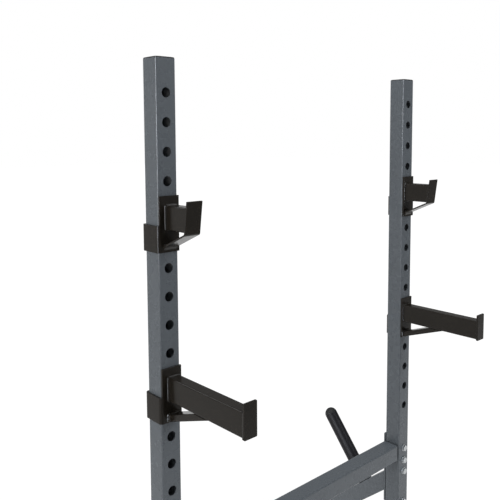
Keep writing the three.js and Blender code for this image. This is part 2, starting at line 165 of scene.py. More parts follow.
class Slot(Enum):
    """The record's material slots."""

    FRAME = "frame_paint"
    BLACK = "black_paint"
    PEG = "peg_paint"
    CAP = "cap_plastic"
    BOOT = "boot_rubber"
    ZINC = "zinc_plate"


@dataclass(frozen=True)
class Ramp:
    """A range of values and the range of levels that it is mapped to, with no overshoot."""

    start: float
    end: float
    levels: tuple[float, float] = (0.0, 1.0)


class NodeGraph:
    """A node tree that is filled in code."""

    def __init__(self, tree: bpy.types.NodeTree) -> None:
        """Empties the tree.

        Args:
            tree: The tree to fill.
        """
        self.tree = tree
        tree.nodes.clear()

    def add(self, kind: str, settings: dict | None = None, **inputs: object) -> bpy.types.Node:
        """Adds a node.

        Args:
            kind: The node's Blender type.
            settings: Values of the node's own options.
            **inputs: Input sockets by name, with _ for a space. A socket as value is linked.

        Returns:
            The new node.
        """
        node = self.tree.nodes.new(kind)
        for key, value in (settings or {}).items():
            setattr(node, key, value)
        for key, value in inputs.items():
            self.feed(node, key.replace("_", " "), value)
        return node

    def feed(self, node: bpy.types.Node, socket: str | int, value: object) -> None:
        """Sets or links one input.

        Args:
            node: The node that has the input.
            socket: The input's name or number.
            value: A plain value, or the output socket to link.
        """
        if isinstance(value, bpy.types.NodeSocket):
            self.tree.links.new(value, node.inputs[socket])
        else:
            node.inputs[socket].default_value = value

    def maths(self, operation: str, first: object, second: object) -> bpy.types.NodeSocket:
        """Adds a sum, product or the like of two values.

        Args:
            operation: Blender's name of the operation.
            first: A number or a socket.
            second: A number or a socket.

        Returns:
            The result.
        """
        node = self.add("ShaderNodeMath", {"operation": operation})
        self.feed(node, 0, first)
        self.feed(node, 1, second)
        return node.outputs[0]

    def blended(self, share: object, first: object, second: object) -> bpy.types.NodeSocket:
        """Blends two numbers.

        Args:
            share: How much of the second number counts.
            first: A number or a socket.
            second: A number or a socket.

        Returns:
            The blended number.
        """
        node = self.add("ShaderNodeMix", {"data_type": "FLOAT"})
        for index, value in zip(MIX_NUMBER_SOCKETS, (share, first, second)):
            self.feed(node, index, value)
        return node.outputs[0]

    def ranged(self, value: bpy.types.NodeSocket, ramp: Ramp) -> bpy.types.NodeSocket:
        """Maps a value to another range.

        Args:
            value: The value to map.
            ramp: The range that it comes from, and the levels that it goes to.

        Returns:
            The mapped value.
        """
        node = self.add("ShaderNodeMapRange", {"clamp": True})
        for index, entry in enumerate((value, ramp.start, ramp.end, *ramp.levels)):
            self.feed(node, index, entry)
        return node.outputs["Result"]

    def seen(self) -> bpy.types.NodeSocket:
        """1 for the rays that the camera sees by itself, and 0 for others."""
        return self.add("ShaderNodeLightPath").outputs["Is Camera Ray"]

    def mirrored(self) -> bpy.types.NodeSocket:
        """1 for the rays that show the room in metal, paint or glass, and 0 for others."""
        path = self.add("ShaderNodeLightPath")
        return self.maths("MAXIMUM", path.outputs["Is Glossy Ray"], path.outputs["Is Transmission Ray"])


class ShaderGraph(NodeGraph):
    """A surface material's nodes."""

    noise_core = (0.3, 0.7)
    edge_cosines = Ramp(0.995, 0.80)
    bevel_samples = 6

    def __init__(self, name: str) -> None:
        """Starts a material that holds only its shader and its output.

        Args:
            name: The material's name.
        """
        self.material = bpy.data.materials.new(name)
        self.material.use_nodes = True
        super().__init__(self.material.node_tree)
        self.shader = self.add("ShaderNodeBsdfPrincipled")
        self.add("ShaderNodeOutputMaterial", Surface=self.shader.outputs["BSDF"])

    def shade(self, **inputs: object) -> None:
        """Sets or links inputs of the material's shader by name."""
        for key, value in inputs.items():
            self.feed(self.shader, key.replace("_", " "), value)

    def noise(self, grain_mm: float, detail: float = 2.0, roughness: float = 0.5) -> bpy.types.NodeSocket:
        """Adds noise of a given grain, fixed to the piece.

        Args:
            grain_mm: Size of the largest grains.
            detail: Number of finer layers.
            roughness: Strength of the finer layers.

        Returns:
            The noise's value, from 0 to 1.
        """
        node = self.add(
            "ShaderNodeTexNoise",
            Vector=self.add("ShaderNodeTexCoord").outputs["Object"],
            Scale=1.0 / (grain_mm * MM),
            Detail=detail,
            Roughness=roughness,
        )
        return node.outputs["Fac"]

    def clouded(
        self,
        grain_mm: float,
        levels: tuple[float, float] = (0.0, 1.0),
        detail: float = 3.0,
        roughness: float = 0.5,
    ) -> bpy.types.NodeSocket:
        """Adds noise whose usual values are spread over a range of levels.

        Args:
            grain_mm: Size of the largest grains.
            levels: The lowest and the highest level.
            detail: Number of finer layers.
            roughness: Strength of the finer layers.

        Returns:
            The spread noise.
        """
        return self.ranged(self.noise(grain_mm, detail, roughness), Ramp(*self.noise_core, levels))

    def mixed(self, share: object, first: object, second: object) -> bpy.types.NodeSocket:
        """Mixes two colours.

        Args:
            share: How much of the second colour shows.
            first: A colour or a colour socket.
            second: A colour or a colour socket.

        Returns:
            The mixed colour.
        """
        node = self.add("ShaderNodeMix", {"data_type": "RGBA"})
        for index, value in zip(MIX_COLOUR_SOCKETS, (share, first, second)):
            self.feed(node, index, value)
        return node.outputs[MIX_COLOUR_RESULT]

    def rounded(self, radius_mm: float) -> bpy.types.NodeSocket:
        """The surface's normal with its edges rounded by the given radius."""
        bevel = self.add("ShaderNodeBevel", {"samples": self.bevel_samples}, Radius=radius_mm * MM)
        return bevel.outputs["Normal"]

    def edges(self, radius_mm: float) -> bpy.types.NodeSocket:
        """Finds the piece's edges.

        Args:
            radius_mm: How far from an edge the mask reaches.

        Returns:
            A mask of 1 on edges and 0 on flat faces.
        """
        dot = self.add("ShaderNodeVectorMath", {"operation": "DOT_PRODUCT"})
        self.feed(dot, 0, self.rounded(radius_mm))
        self.feed(dot, 1, self.add("ShaderNodeNewGeometry").outputs["Normal"])
        return self.ranged(dot.outputs["Value"], self.edge_cosines)

    def bumped(
        self, height: bpy.types.NodeSocket, depth_mm: float, normal: bpy.types.NodeSocket
    ) -> bpy.types.NodeSocket:
        """Adds relief to a normal.

        Args:
            height: The relief's height, from 0 to 1.
            depth_mm: The relief's depth.
            normal: The normal of the smooth surface.

        Returns:
            The normal with the relief.
        """
        node = self.add("ShaderNodeBump", Strength=1.0, Distance=depth_mm * MM, Height=height, Normal=normal)
        return node.outputs["Normal"]


def rgba(colour: Colour, gain: float = 1.0) -> tuple[float, float, float, float]:
    """A linear colour times a gain, with full alpha."""
    return (colour[0] * gain, colour[1] * gain, colour[2] * gain, 1.0)


def spread(middle: float, changes: tuple[float, float]) -> tuple[float, float]:
    """A value with a lower and an upper change added to it."""
    return (middle + changes[0], middle + changes[1])


@dataclass(frozen=True)
class Finish:
    """A surface finish. Each finish makes its material once."""

    name: str
    slot: Slot

    def material(self) -> bpy.types.Material:
        """The finish's material, made on first use."""
        return bpy.data.materials.get(self.name) or self.make()

    def make(self) -> bpy.types.Material:
        """Makes the material's nodes."""
        raise NotImplementedError


@dataclass(frozen=True)
class PowderCoat(Finish):
    """Baked powder paint: an even colour with fine orange peel, lighter on edges, partly where the coat is
    thinner and partly as a painted highlight.
    """

    colour: Colour = (0.1, 0.1, 0.1)
    roughness: float = 0.32
    specular: float = 0.36
    edge_gain: float = 1.3
    edge_radius_mm: float = 0.7
    peel_grain_mm: float = 1.6
    peel_depth_mm: float = 0.007
    cloud_grain_mm: float = 90.0
    cloud_gains: tuple[float, float] = (0.98, 1.02)
    fleck_grain_mm: float = 0.7
    fleck_shares: Ramp = Ramp(0.35, 0.75, (0.0, 0.08))
    fleck_gain: float = 1.5
    smudge_grain_mm: float = 35.0
    smudge_changes: tuple[float, float] = (-0.01, 0.02)

    def make(self) -> bpy.types.Material:
        """Makes the paint's nodes.

        Returns:
            The paint's material.
        """
        graph = ShaderGraph(self.name)
        deep, pale = (rgba(self.colour, gain) for gain in self.cloud_gains)
        base = graph.mixed(graph.clouded(self.cloud_grain_mm), deep, pale)
        fleck = graph.ranged(graph.noise(self.fleck_grain_mm, 1.0), self.fleck_shares)
        speckled = graph.mixed(fleck, base, rgba(self.colour, self.fleck_gain))
        # Lighter edge colour: partly the thinner coat, partly a painted highlight along rounded edges and
        # corners.
        edge_highlight_colour = rgba(self.colour, self.edge_gain)
        levels = spread(self.roughness, self.smudge_changes)
        peel = graph.noise(self.peel_grain_mm)
        graph.shade(
            Base_Color=graph.mixed(graph.edges(self.edge_radius_mm), speckled, edge_highlight_colour),
            Metallic=0.0,
            Roughness=graph.clouded(self.smudge_grain_mm, levels, BUSY_DETAIL, BUSY_ROUGHNESS),
            Specular_IOR_Level=self.specular,
            Normal=graph.bumped(peel, self.peel_depth_mm, graph.rounded(self.edge_radius_mm)),
        )
        return graph.material


@dataclass(frozen=True)
class MouldedPlastic(Finish):
    """Moulded plastic or rubber with a fine spark-eroded grain."""

    colour: Colour = (0.02, 0.02, 0.02)
    roughness: float = 0.6
    specular: float = 0.35
    edge_gain: float = 1.6
    edge_radius_mm: float = 0.6
    grain_mm: float = 0.6
    grain_depth_mm: float = 0.04
    cloud_grain_mm: float = 25.0
    cloud_gains: tuple[float, float] = (0.9, 1.15)
    cloud_changes: tuple[float, float] = (-0.05, 0.05)

    def make(self) -> bpy.types.Material:
        """Makes the plastic's nodes.

        Returns:
            The plastic's material.
        """
        graph = ShaderGraph(self.name)
        cloud = graph.clouded(self.cloud_grain_mm)
        deep, pale = (rgba(self.colour, gain) for gain in self.cloud_gains)
        base = graph.mixed(cloud, deep, pale)
        # Lighter edge colour: a painted highlight along the moulded edges.
        edge_highlight_colour = rgba(self.colour, self.edge_gain)
        grain = graph.noise(self.grain_mm)
        graph.shade(
            Base_Color=graph.mixed(graph.edges(self.edge_radius_mm), base, edge_highlight_colour),
            Roughness=graph.ranged(cloud, Ramp(0.0, 1.0, spread(self.roughness, self.cloud_changes))),
            Specular_IOR_Level=self.specular,
            Normal=graph.bumped(grain, self.grain_depth_mm, graph.rounded(self.edge_radius_mm)),
        )
        return graph.material


@dataclass(frozen=True)
class ZincPlate(Finish):
    """Bright zinc on steel: cool grey metal, slightly mottled, with fine turning marks."""

    colour: Colour = (0.55, 0.57, 0.58)
    roughness: float = 0.32
    edge_radius_mm: float = 0.3
    mottle_grain_mm: float = 4.0
    mottle_gains: tuple[float, float] = (0.85, 1.1)
    mottle_changes: tuple[float, float] = (-0.06, 0.1)
    mark_grain_mm: float = 0.4
    mark_depth_mm: float = 0.01

    def make(self) -> bpy.types.Material:
        """Makes the plating's nodes.

        Returns:
            The plating's material.
        """
        graph = ShaderGraph(self.name)
        mottle = graph.clouded(self.mottle_grain_mm, detail=BUSY_DETAIL, roughness=BUSY_ROUGHNESS)
        deep, pale = (rgba(self.colour, gain) for gain in self.mottle_gains)
        marks = graph.noise(self.mark_grain_mm, 1.0)
        graph.shade(
            Base_Color=graph.mixed(mottle, deep, pale),
            Metallic=1.0,
            Roughness=graph.ranged(mottle, Ramp(0.0, 1.0, spread(self.roughness, self.mottle_changes))),
            Normal=graph.bumped(marks, self.mark_depth_mm, graph.rounded(self.edge_radius_mm)),
        )
        return graph.material


# The edge highlight gains lighten each finish's edges as a painted highlight; on the powder coats they also
# stand for the thinner coat there.
FRAME_PAINT = PowderCoat("frame_powder_coat", Slot.FRAME, (0.0905, 0.102, 0.114), roughness=0.27)
FRAME_WELD = PowderCoat(
    "frame_weld_paint", Slot.FRAME, (0.0945, 0.106, 0.118), peel_grain_mm=0.9, peel_depth_mm=0.05
)
BLACK_PAINT = PowderCoat(
    "black_powder_coat", Slot.BLACK, (0.013, 0.0107, 0.008), roughness=0.22, specular=0.32, edge_gain=1.7
)
# A darker copy of the black paint, as painted shade on the weld beads; its strong edge highlight gain paints
# the bright line along them.
BLACK_WELD = PowderCoat(
    "black_weld_paint", Slot.BLACK, (0.011, 0.009, 0.0065), roughness=0.2, edge_gain=2.2,
    peel_grain_mm=0.9, peel_depth_mm=0.05,
)
PEG_PAINT = PowderCoat(
    "charcoal_powder_coat", Slot.PEG, (0.0118, 0.0115, 0.0142), roughness=0.46, specular=0.17, edge_gain=1.2
)
CAP_PLASTIC = MouldedPlastic("cap_plastic_grain", Slot.CAP, (0.016, 0.017, 0.018), roughness=0.5)
BOOT_RUBBER = MouldedPlastic(
    "boot_rubber_grain", Slot.BOOT, (0.012, 0.012, 0.013), roughness=0.75, grain_depth_mm=0.09
)
ZINC = ZincPlate("zinc_plating", Slot.ZINC)


class Workshop:
    """Makes the scene's own pieces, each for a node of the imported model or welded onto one."""

    crease_degrees = 32.0
    bevel_degrees = 35.0
    bevel_steps = 2
    normal_weight = 100

    def __init__(self) -> None:
        """Starts with no piece made."""
        self.made = 0

    def solid(self, name: str, build: Builder) -> bpy.types.Object:
        """Makes a bare closed body.

        Args:
            name: Its name.
            build: Fills the empty mesh, in metres in the stand's frame.

        Returns:
            The body, linked to the scene.
        """
        mesh = bpy.data.meshes.new(name)
        bm = bmesh.new()
        build(bm)
        bmesh.ops.recalc_face_normals(bm, faces=bm.faces)
        bm.to_mesh(mesh)
        bm.free()
        body = bpy.data.objects.new(name, mesh)
        bpy.context.scene.collection.objects.link(body)
        return body

    def finish_shape(self, body: bpy.types.Object, cutter: Builder | None, edge: float) -> None:
        """Cuts a body and rounds its sharp edges.

        Args:
            body: The body.
            cutter: Fills the mesh of what is cut away.
            edge: Size of the rounding in millimetres; 0 for none.
        """
        waste = None
        if cutter:
            waste = self.solid(f"{body.name}_waste", cutter)
            cut = body.modifiers.new("cut", "BOOLEAN")
            cut.operation = "DIFFERENCE"
            cut.solver = "EXACT"
            cut.object = waste
        if edge:
            bevel = body.modifiers.new("edges", "BEVEL")
            bevel.width = edge * MM
            bevel.segments = self.bevel_steps
            bevel.limit_method = "ANGLE"
            bevel.angle_limit = math.radians(self.bevel_degrees)
        if body.modifiers:
            graph = bpy.context.evaluated_depsgraph_get()
            shaped = bpy.data.meshes.new_from_object(body.evaluated_get(graph))
            body.modifiers.clear()
            body.data = shaped
        if waste:
            bpy.data.objects.remove(waste)

    def piece(
        self,
        name: str,
        body: str,
        finish: Finish,
        build: Builder,
        replaces: Iterable[str] = (),
        cutter: Builder | None = None,
        edge: float = 0.0,
    ) -> bpy.types.Object:
        """Makes one finished piece.

        Args:
            name: The piece's name.
            body: The body that it rides on.
            finish: Its finish.
            build: Fills the empty mesh, in metres in the stand's frame.
            replaces: Nodes that it stands for.
            cutter: Fills the mesh of what is cut away.
            edge: Size of the rounding on its sharp edges, in millimetres.

        Returns:
            The piece.
        """
        piece = self.solid(name, build)
        self.finish_shape(piece, cutter, edge)
        mesh = piece.data
        mesh.polygons.foreach_set("use_smooth", [True] * len(mesh.polygons))
        mesh.set_sharp_from_angle(angle=math.radians(self.crease_degrees))
        mesh.materials.clear()
        mesh.materials.append(finish.material())
        even = piece.modifiers.new("even_faces", "WEIGHTED_NORMAL")
        even.keep_sharp = True
        even.weight = self.normal_weight
        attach(piece, body)
        if replaces:
            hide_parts(*replaces)
        self.made += 1
        log.info("made %s on %s, %d faces", name, body, len(mesh.polygons))
        return piece


def rings_to_skin(bm: bmesh.types.BMesh, rings: Sequence[Sequence[Vector]], closed: bool) -> None:
    """Joins rings of points into one closed skin.

    Args:
        bm: The mesh that gets the skin.
        rings: Rings of as many points each.
        closed: True where the last ring joins the first; otherwise both ends get a face.
    """
    rows = [[bm.verts.new(point) for point in ring] for ring in rings]
    pairs = list(zip(rows, rows[1:]))
    if closed:
        pairs.append((rows[-1], rows[0]))
    for before, after in pairs:
        for i in range(len(before)):
            j = (i + 1) % len(before)
            bm.faces.new((before[i], before[j], after[j], after[i]))
    if not closed:
        bm.faces.new(rows[0])
        bm.faces.new(list(reversed(rows[-1])))


def rounded_outline(
    half_width: float, half_height: float, radius: float, steps: int = 8
) -> list[tuple[Vector, Vector]]:
    """The outline of a rectangle with round corners.

    Args:
        half_width: Half the width.
        half_height: Half the height.
        radius: The corners' radius.
        steps: Facets in each corner.

    Returns:
        Points in the plane with their outward normals, anticlockwise.
    """
    outline = []
    for quarter, (sx, sy) in enumerate(((1, 1), (-1, 1), (-1, -1), (1, -1))):
        centre = Vector((sx * (half_width - radius), sy * (half_height - radius)))
        for step in range(steps + 1):
            angle = math.pi / 2 * (quarter + step / steps)
            normal = Vector((math.cos(angle), math.sin(angle)))
            outline.append((centre + normal * radius, normal))
    return outline


def filleted(corners: Sequence[Point], steps: int = 8) -> list[Vector]:
    """Rounds the corners of a polygon, whichever way they turn.

    Args:
        corners: x, y and fillet radius of each corner; a radius of 0 stays sharp.
        steps: Facets in each fillet.

    Returns:
        The outline's points.
    """
    outline = []
    for i, (x, y, radius) in enumerate(corners):
        corner = Vector((x, y))
        if not radius:
            outline.append(corner)
            continue
        before = (Vector(corners[i - 1][:2]) - corner).normalized()
        after = (Vector(corners[(i + 1) % len(corners)][:2]) - corner).normalized()
        half = before.angle(after) / 2
        centre = corner + (before + after).normalized() * (radius / math.sin(half))
        start = corner + before * (radius / math.tan(half)) - centre
        end = corner + after * (radius / math.tan(half)) - centre
        sweep = math.atan2(start.x * end.y - start.y * end.x, start.dot(end))
        for step in range(steps + 1):
            angle = sweep * step / steps
            turned = Vector((
                start.x * math.cos(angle) - start.y * math.sin(angle),
                start.x * math.sin(angle) + start.y * math.cos(angle),
            ))
            outline.append(centre + turned)
    return outline


def bent_sheet(
    inside: Sequence[tuple[float, float]], thickness: float, bend: float, end: float | None = None
) -> list[Vector]:
    """The section of a bent plate.

    Args:
        inside: Corners of its inner face, with the inner side on the left.
        thickness: The plate's thickness.
        bend: Inner radius of every bend.
        end: Where given, both faces run on to this value of the section's first coordinate.

    Returns:
        The section's outline.
    """
    points = [Vector(point) for point in inside]
    ways = [(b - a).normalized() for a, b in zip(points, points[1:])]
    lefts = [Vector((-way.y, way.x)) for way in ways]
    inner, outer = [], []
    for i, point in enumerate(points):
        first, second = lefts[max(i - 1, 0)], lefts[min(i, len(ways) - 1)]
        out = point - (first + second) * (thickness / (1.0 + first.dot(second)))
        last = i == len(points) - 1
        if last and end is not None:
            point = point + ways[-1] * ((end - point.x) / ways[-1].x)
            out = out + ways[-1] * ((end - out.x) / ways[-1].x)
        ends_here = last or i == 0
        inner.append((point.x, point.y, 0.0 if ends_here else bend))
        outer.append((out.x, out.y, 0.0 if ends_here else bend + thickness))
    return filleted(inner + outer[::-1])


def draw_out(
    bm: bmesh.types.BMesh, side: Side, view: View, outline: Sequence[Vector], low: float, high: float
) -> None:
    """Draws a section out into a solid.

    Args:
        bm: The mesh that gets the solid.
        side: The side of the stand that it is on.
        view: The way the section is drawn.
        outline: The section.
        low: Where it starts on the view's axis.
        high: Where it ends.
    """
    rings = [[side.place(view.lift(point, along)) for point in outline] for along in (low, high)]
    rings_to_skin(bm, rings, closed=False)


def rectangle(low: Sequence[float], high: Sequence[float]) -> list[tuple[float, float]]:
    """The corners of a rectangle, anticlockwise from its lowest one."""
    return [(low[0], low[1]), (high[0], low[1]), (high[0], high[1]), (low[0], high[1])]


def block(bm: bmesh.types.BMesh, side: Side, low: Point, high: Point) -> None:
    """Adds a box for cutting.

    Args:
        bm: The mesh that gets the box.
        side: The side of the stand that it is on.
        low: Its lowest u, y and z.
        high: Its highest u, y and z.
    """
    outline = [Vector(corner) for corner in rectangle(low, high)]
    draw_out(bm, side, View.PLAN, outline, low[2], high[2])


def spin(
    bm: bmesh.types.BMesh,
    matrix: Matrix,
    profile: Sequence[tuple[float, float | Radius]],
    around: int = 64,
    closed: bool = False,
) -> None:
    """Adds a turned form, whose radius may also depend on the angle.

    Args:
        bm: The mesh that gets the form.
        matrix: Turns the form's coordinates, in millimetres and with its axis along z, into the stand's.
        profile: Heights, each with its radius or with a function of the angle that gives it.
        around: Facets round the axis.
        closed: True where the profile joins its own start, as on a hollow tube.
    """
    rings = []
    for height, radius in profile:
        ring = []
        for i in range(around):
            angle = 2 * math.pi * i / around
            r = radius(angle) if callable(radius) else radius
            ring.append(matrix @ Vector((r * math.cos(angle), r * math.sin(angle), height)))
        rings.append(ring)
    rings_to_skin(bm, rings, closed)


def axis_frame(place: Vector, axis: Vector) -> Matrix:
    """A frame in millimetres whose z runs along an axis.

    Args:
        place: Its origin in the stand's frame, in metres.
        axis: The direction of its z.

    Returns:
        The matrix from the frame's coordinates to the stand's.
    """
    turn = Vector((0, 0, 1)).rotation_difference(axis).to_matrix().to_4x4()
    return Matrix.Translation(place) @ turn @ Matrix.Diagonal((MM, MM, MM, 1.0))


def drills(
    bm: bmesh.types.BMesh, side: Side, view: View, holes: Sequence[Point], low: float, high: float
) -> None:
    """Adds a cylinder for each hole through a piece.

    Args:
        bm: The mesh that gets the cylinders.
        side: The side of the stand that the piece is on.
        view: The view in which the holes are round.
        holes: Both coordinates of each hole's centre, and its diameter.
        low: Where the cylinders start on the view's axis.
        high: Where they end.
    """
    for x, y, diameter in holes:
        facets = HOLE_FACETS if diameter > BOLT_HOLE else BOLT_HOLE_FACETS
        circle = [
            Vector((x, y)) + Vector((math.cos(a), math.sin(a))) * (diameter / 2)
            for a in (2 * math.pi * i / facets for i in range(facets))
        ]
        draw_out(bm, side, view, circle, low, high)


@dataclass(frozen=True)
class Cut:
    """A plane that ends a tube, in a side's coordinates."""

    through: Point
    normal: Point

    def meet(self, start: Vector, way: Vector) -> Vector:
        """Where a line meets the plane.

        Args:
            start: A point on the line.
            way: The line's direction.

        Returns:
            The common point.
        """
        normal = Vector(self.normal)
        return start + way * ((Vector(self.through) - start).dot(normal) / way.dot(normal))


@dataclass(frozen=True)
class TubeRun:
    """A rectangular tube with round corners that runs straight from one cut to another."""

    side: Side
    width: float
    height: float
    wall: float
    corner: float
    inner_corner: float
    through: Point
    way: Point
    cuts: tuple[Cut, Cut]
    across: Point = (1.0, 0.0, 0.0)

    def build(self, bm: bmesh.types.BMesh) -> None:
        """Adds the tube, open at both ends.

        Args:
            bm: The mesh that gets the tube.
        """
        way, across = Vector(self.way).normalized(), Vector(self.across)
        up = way.cross(across)
        outer = rounded_outline(self.width / 2, self.height / 2, self.corner)
        inner = rounded_outline(self.width / 2 - self.wall, self.height / 2 - self.wall, self.inner_corner)
        rings = []
        for outline, cut in ((outer, 0), (outer, 1), (inner, 1), (inner, 0)):
            ring = []
            for point, _ in outline:
                start = Vector(self.through) + across * point.x + up * point.y
                ring.append(self.side.place(self.cuts[cut].meet(start, way)))
            rings.append(ring)
        rings_to_skin(bm, rings, closed=True)


def frame_tube(
    side: Side, through: Point, way: Point, cuts: tuple[Cut, Cut], across: Point = (1.0, 0.0, 0.0)
) -> TubeRun:
    """A run of the frame's square tube.

    Args:
        side: The side in whose coordinates it is given.
        through: A point on its centre line.
        way: Its direction.
        cuts: The planes that end it.
        across: The direction of one of its sides.

    Returns:
        The run.
    """
    return TubeRun(side, TUBE, TUBE, TUBE_WALL, TUBE_CORNER, TUBE_INNER_CORNER, through, way, cuts, across)


def plate_outline(low: tuple[float, float], high: tuple[float, float], corner: float) -> list[Vector]:
    """The outline of a rectangular plate.

    Args:
        low: Its lowest corner in its view.
        high: Its highest corner.
        corner: Radius of its corners.

    Returns:
        The outline.
    """
    return filleted([(x, y, corner) for x, y in rectangle(low, high)], PLATE_CORNER_STEPS)


@dataclass(frozen=True)
class SeamPoint:
    """A point on a weld seam, with the directions in which its two legs lie."""

    place: Vector
    along_first: Vector
    along_second: Vector
    second_limit: float = FREE


@dataclass
class FilletWeld:
    """A painted fillet weld: a fan-shaped bead with overlapping scales along its seam."""

    leg: float = 4.0
    scale_pitch: float = 2.6
    scale_height: float = 0.08
    samples_per_scale: int = 5
    section_steps: int = 6
    buried: float = 0.25
    bulge: float = 0.14
    scale_lean: float = 0.35
    end_share: float = 0.45
    fewest_scales: int = 2

    def resample(self, seam: Sequence[SeamPoint], closed: bool) -> list[SeamPoint]:
        """Spaces a seam's points evenly.

        Args:
            seam: The seam's points, in millimetres.
            closed: True where the seam joins its own start.

        Returns:
            Points a fixed step apart.
        """
        points = list(seam) + ([seam[0]] if closed else [])
        lengths = [(b.place - a.place).length for a, b in zip(points, points[1:])]
        total = sum(lengths)
        scales = max(self.fewest_scales, round(total / self.scale_pitch))
        count = scales * self.samples_per_scale
        even, leg_index, walked = [], 0, 0.0
        for i in range(count if closed else count + 1):
            target = total * i / count
            while leg_index < len(lengths) - 1 and walked + lengths[leg_index] < target:
                walked += lengths[leg_index]
                leg_index += 1
            share = (target - walked) / lengths[leg_index] if lengths[leg_index] else 0.0
            a, b = points[leg_index], points[leg_index + 1]
            even.append(
                SeamPoint(
                    a.place.lerp(b.place, share),
                    a.along_first.lerp(b.along_first, share).normalized(),
                    a.along_second.lerp(b.along_second, share).normalized(),
                    a.second_limit + (b.second_limit - a.second_limit) * share,
                )
            )
        return even

    def section(self, point: SeamPoint, index: int, fade: float) -> list[Vector]:
        """The bead's outline at one point of its seam.

        Args:
            point: The seam's point.
            index: The point's number, which sets where in a scale it lies.
            fade: Size of the bead here, from 0 to 1.

        Returns:
            The outline's points, in millimetres.
        """
        a, b = point.along_first, point.along_second
        outline = [point.place - (a + b) * self.buried]
        second = min(self.leg, point.second_limit)
        for step in range(self.section_steps + 1):
            share = step / self.section_steps
            crown = math.sin(math.pi * share)
            phase = (index / self.samples_per_scale - self.scale_lean * crown) % 1.0
            reach = fade * (1.0 + self.scale_height * (1.0 - 2.0 * phase)) * (1.0 + self.bulge * crown)
            outline.append(
                point.place
                + a * (self.leg * reach * (1.0 - share) - self.buried * share)
                + b * (second * reach * share - self.buried * (1.0 - share))
            )
        return outline

    def lay(self, bm: bmesh.types.BMesh, seam: Sequence[SeamPoint], closed: bool = False) -> None:
        """Adds the bead to a mesh.

        Args:
            bm: The mesh that gets the bead.
            seam: The seam's points, in millimetres in the stand's frame.
            closed: True where the seam joins its own start.
        """
        even = self.resample(seam, closed)
        rings = []
        last = len(even) - 1
        for index, point in enumerate(even):
            scales_in = FREE if closed else min(index, last - index) / self.samples_per_scale
            fade = min(1.0, self.end_share + (1.0 - self.end_share) * scales_in)
            rings.append([p * MM for p in self.section(point, index, fade)])
        rings_to_skin(bm, rings, closed)


def straight_seam(side: Side, start: Point, end: Point, first: Point, second: Point) -> list[SeamPoint]:
    """A straight weld seam.

    Args:
        side: The side that it is on.
        start: Its start, as u, y and z.
        end: Its end.
        first: The direction of its first leg.
        second: The direction of its second leg.

    Returns:
        The seam's two ends.
    """
    return [SeamPoint(side.place(at) / MM, side.turn(first), side.turn(second)) for at in (start, end)]


@dataclass(frozen=True)
class Margins:
    """How far a plate reaches past a tube that stands on it, on each side."""

    outer: float = FREE
    inner: float = FREE
    below: float = FREE
    above: float = FREE

    def limit(self, normal: Vector) -> float:
        """The room for a bead on the side that a normal points to.

        Args:
            normal: The tube's outward normal in its section.

        Returns:
            The room in millimetres.
        """
        if abs(normal.x) > abs(normal.y):
            return self.inner if normal.x > 0 else self.outer
        return self.above if normal.y > 0 else self.below


@dataclass(frozen=True)
class TubeSeam:
    """The seam round a rectangular tube whose end stands on a plane.

    The tube's section is given in u and z, and its plane by the y at which each height meets it.
    """

    centre_u: float
    centre_z: float
    width: float
    height: float
    radius: float
    plane_y: Callable[[float], float]
    away: Point
    margins: Margins = Margins()
    corner_steps: int = 4
    slope_step: float = 1.0

    def points(self, side: Side) -> list[SeamPoint]:
        """The seam's points on one side of the stand.

        Args:
            side: The side that the tube is on.

        Returns:
            The seam's points, round the tube.
        """
        seam = []
        for point, normal in rounded_outline(self.width / 2, self.height / 2, self.radius, self.corner_steps):
            u, z = self.centre_u + point.x, self.centre_z + point.y
            rise = (self.plane_y(z + self.slope_step) - self.plane_y(z)) / self.slope_step
            outward = (normal.x, normal.y * rise, normal.y)
            place = side.place((u, self.plane_y(z), z)) / MM
            limit = self.margins.limit(normal)
            seam.append(SeamPoint(place, side.turn(self.away), side.turn(outward), limit))
        return seam


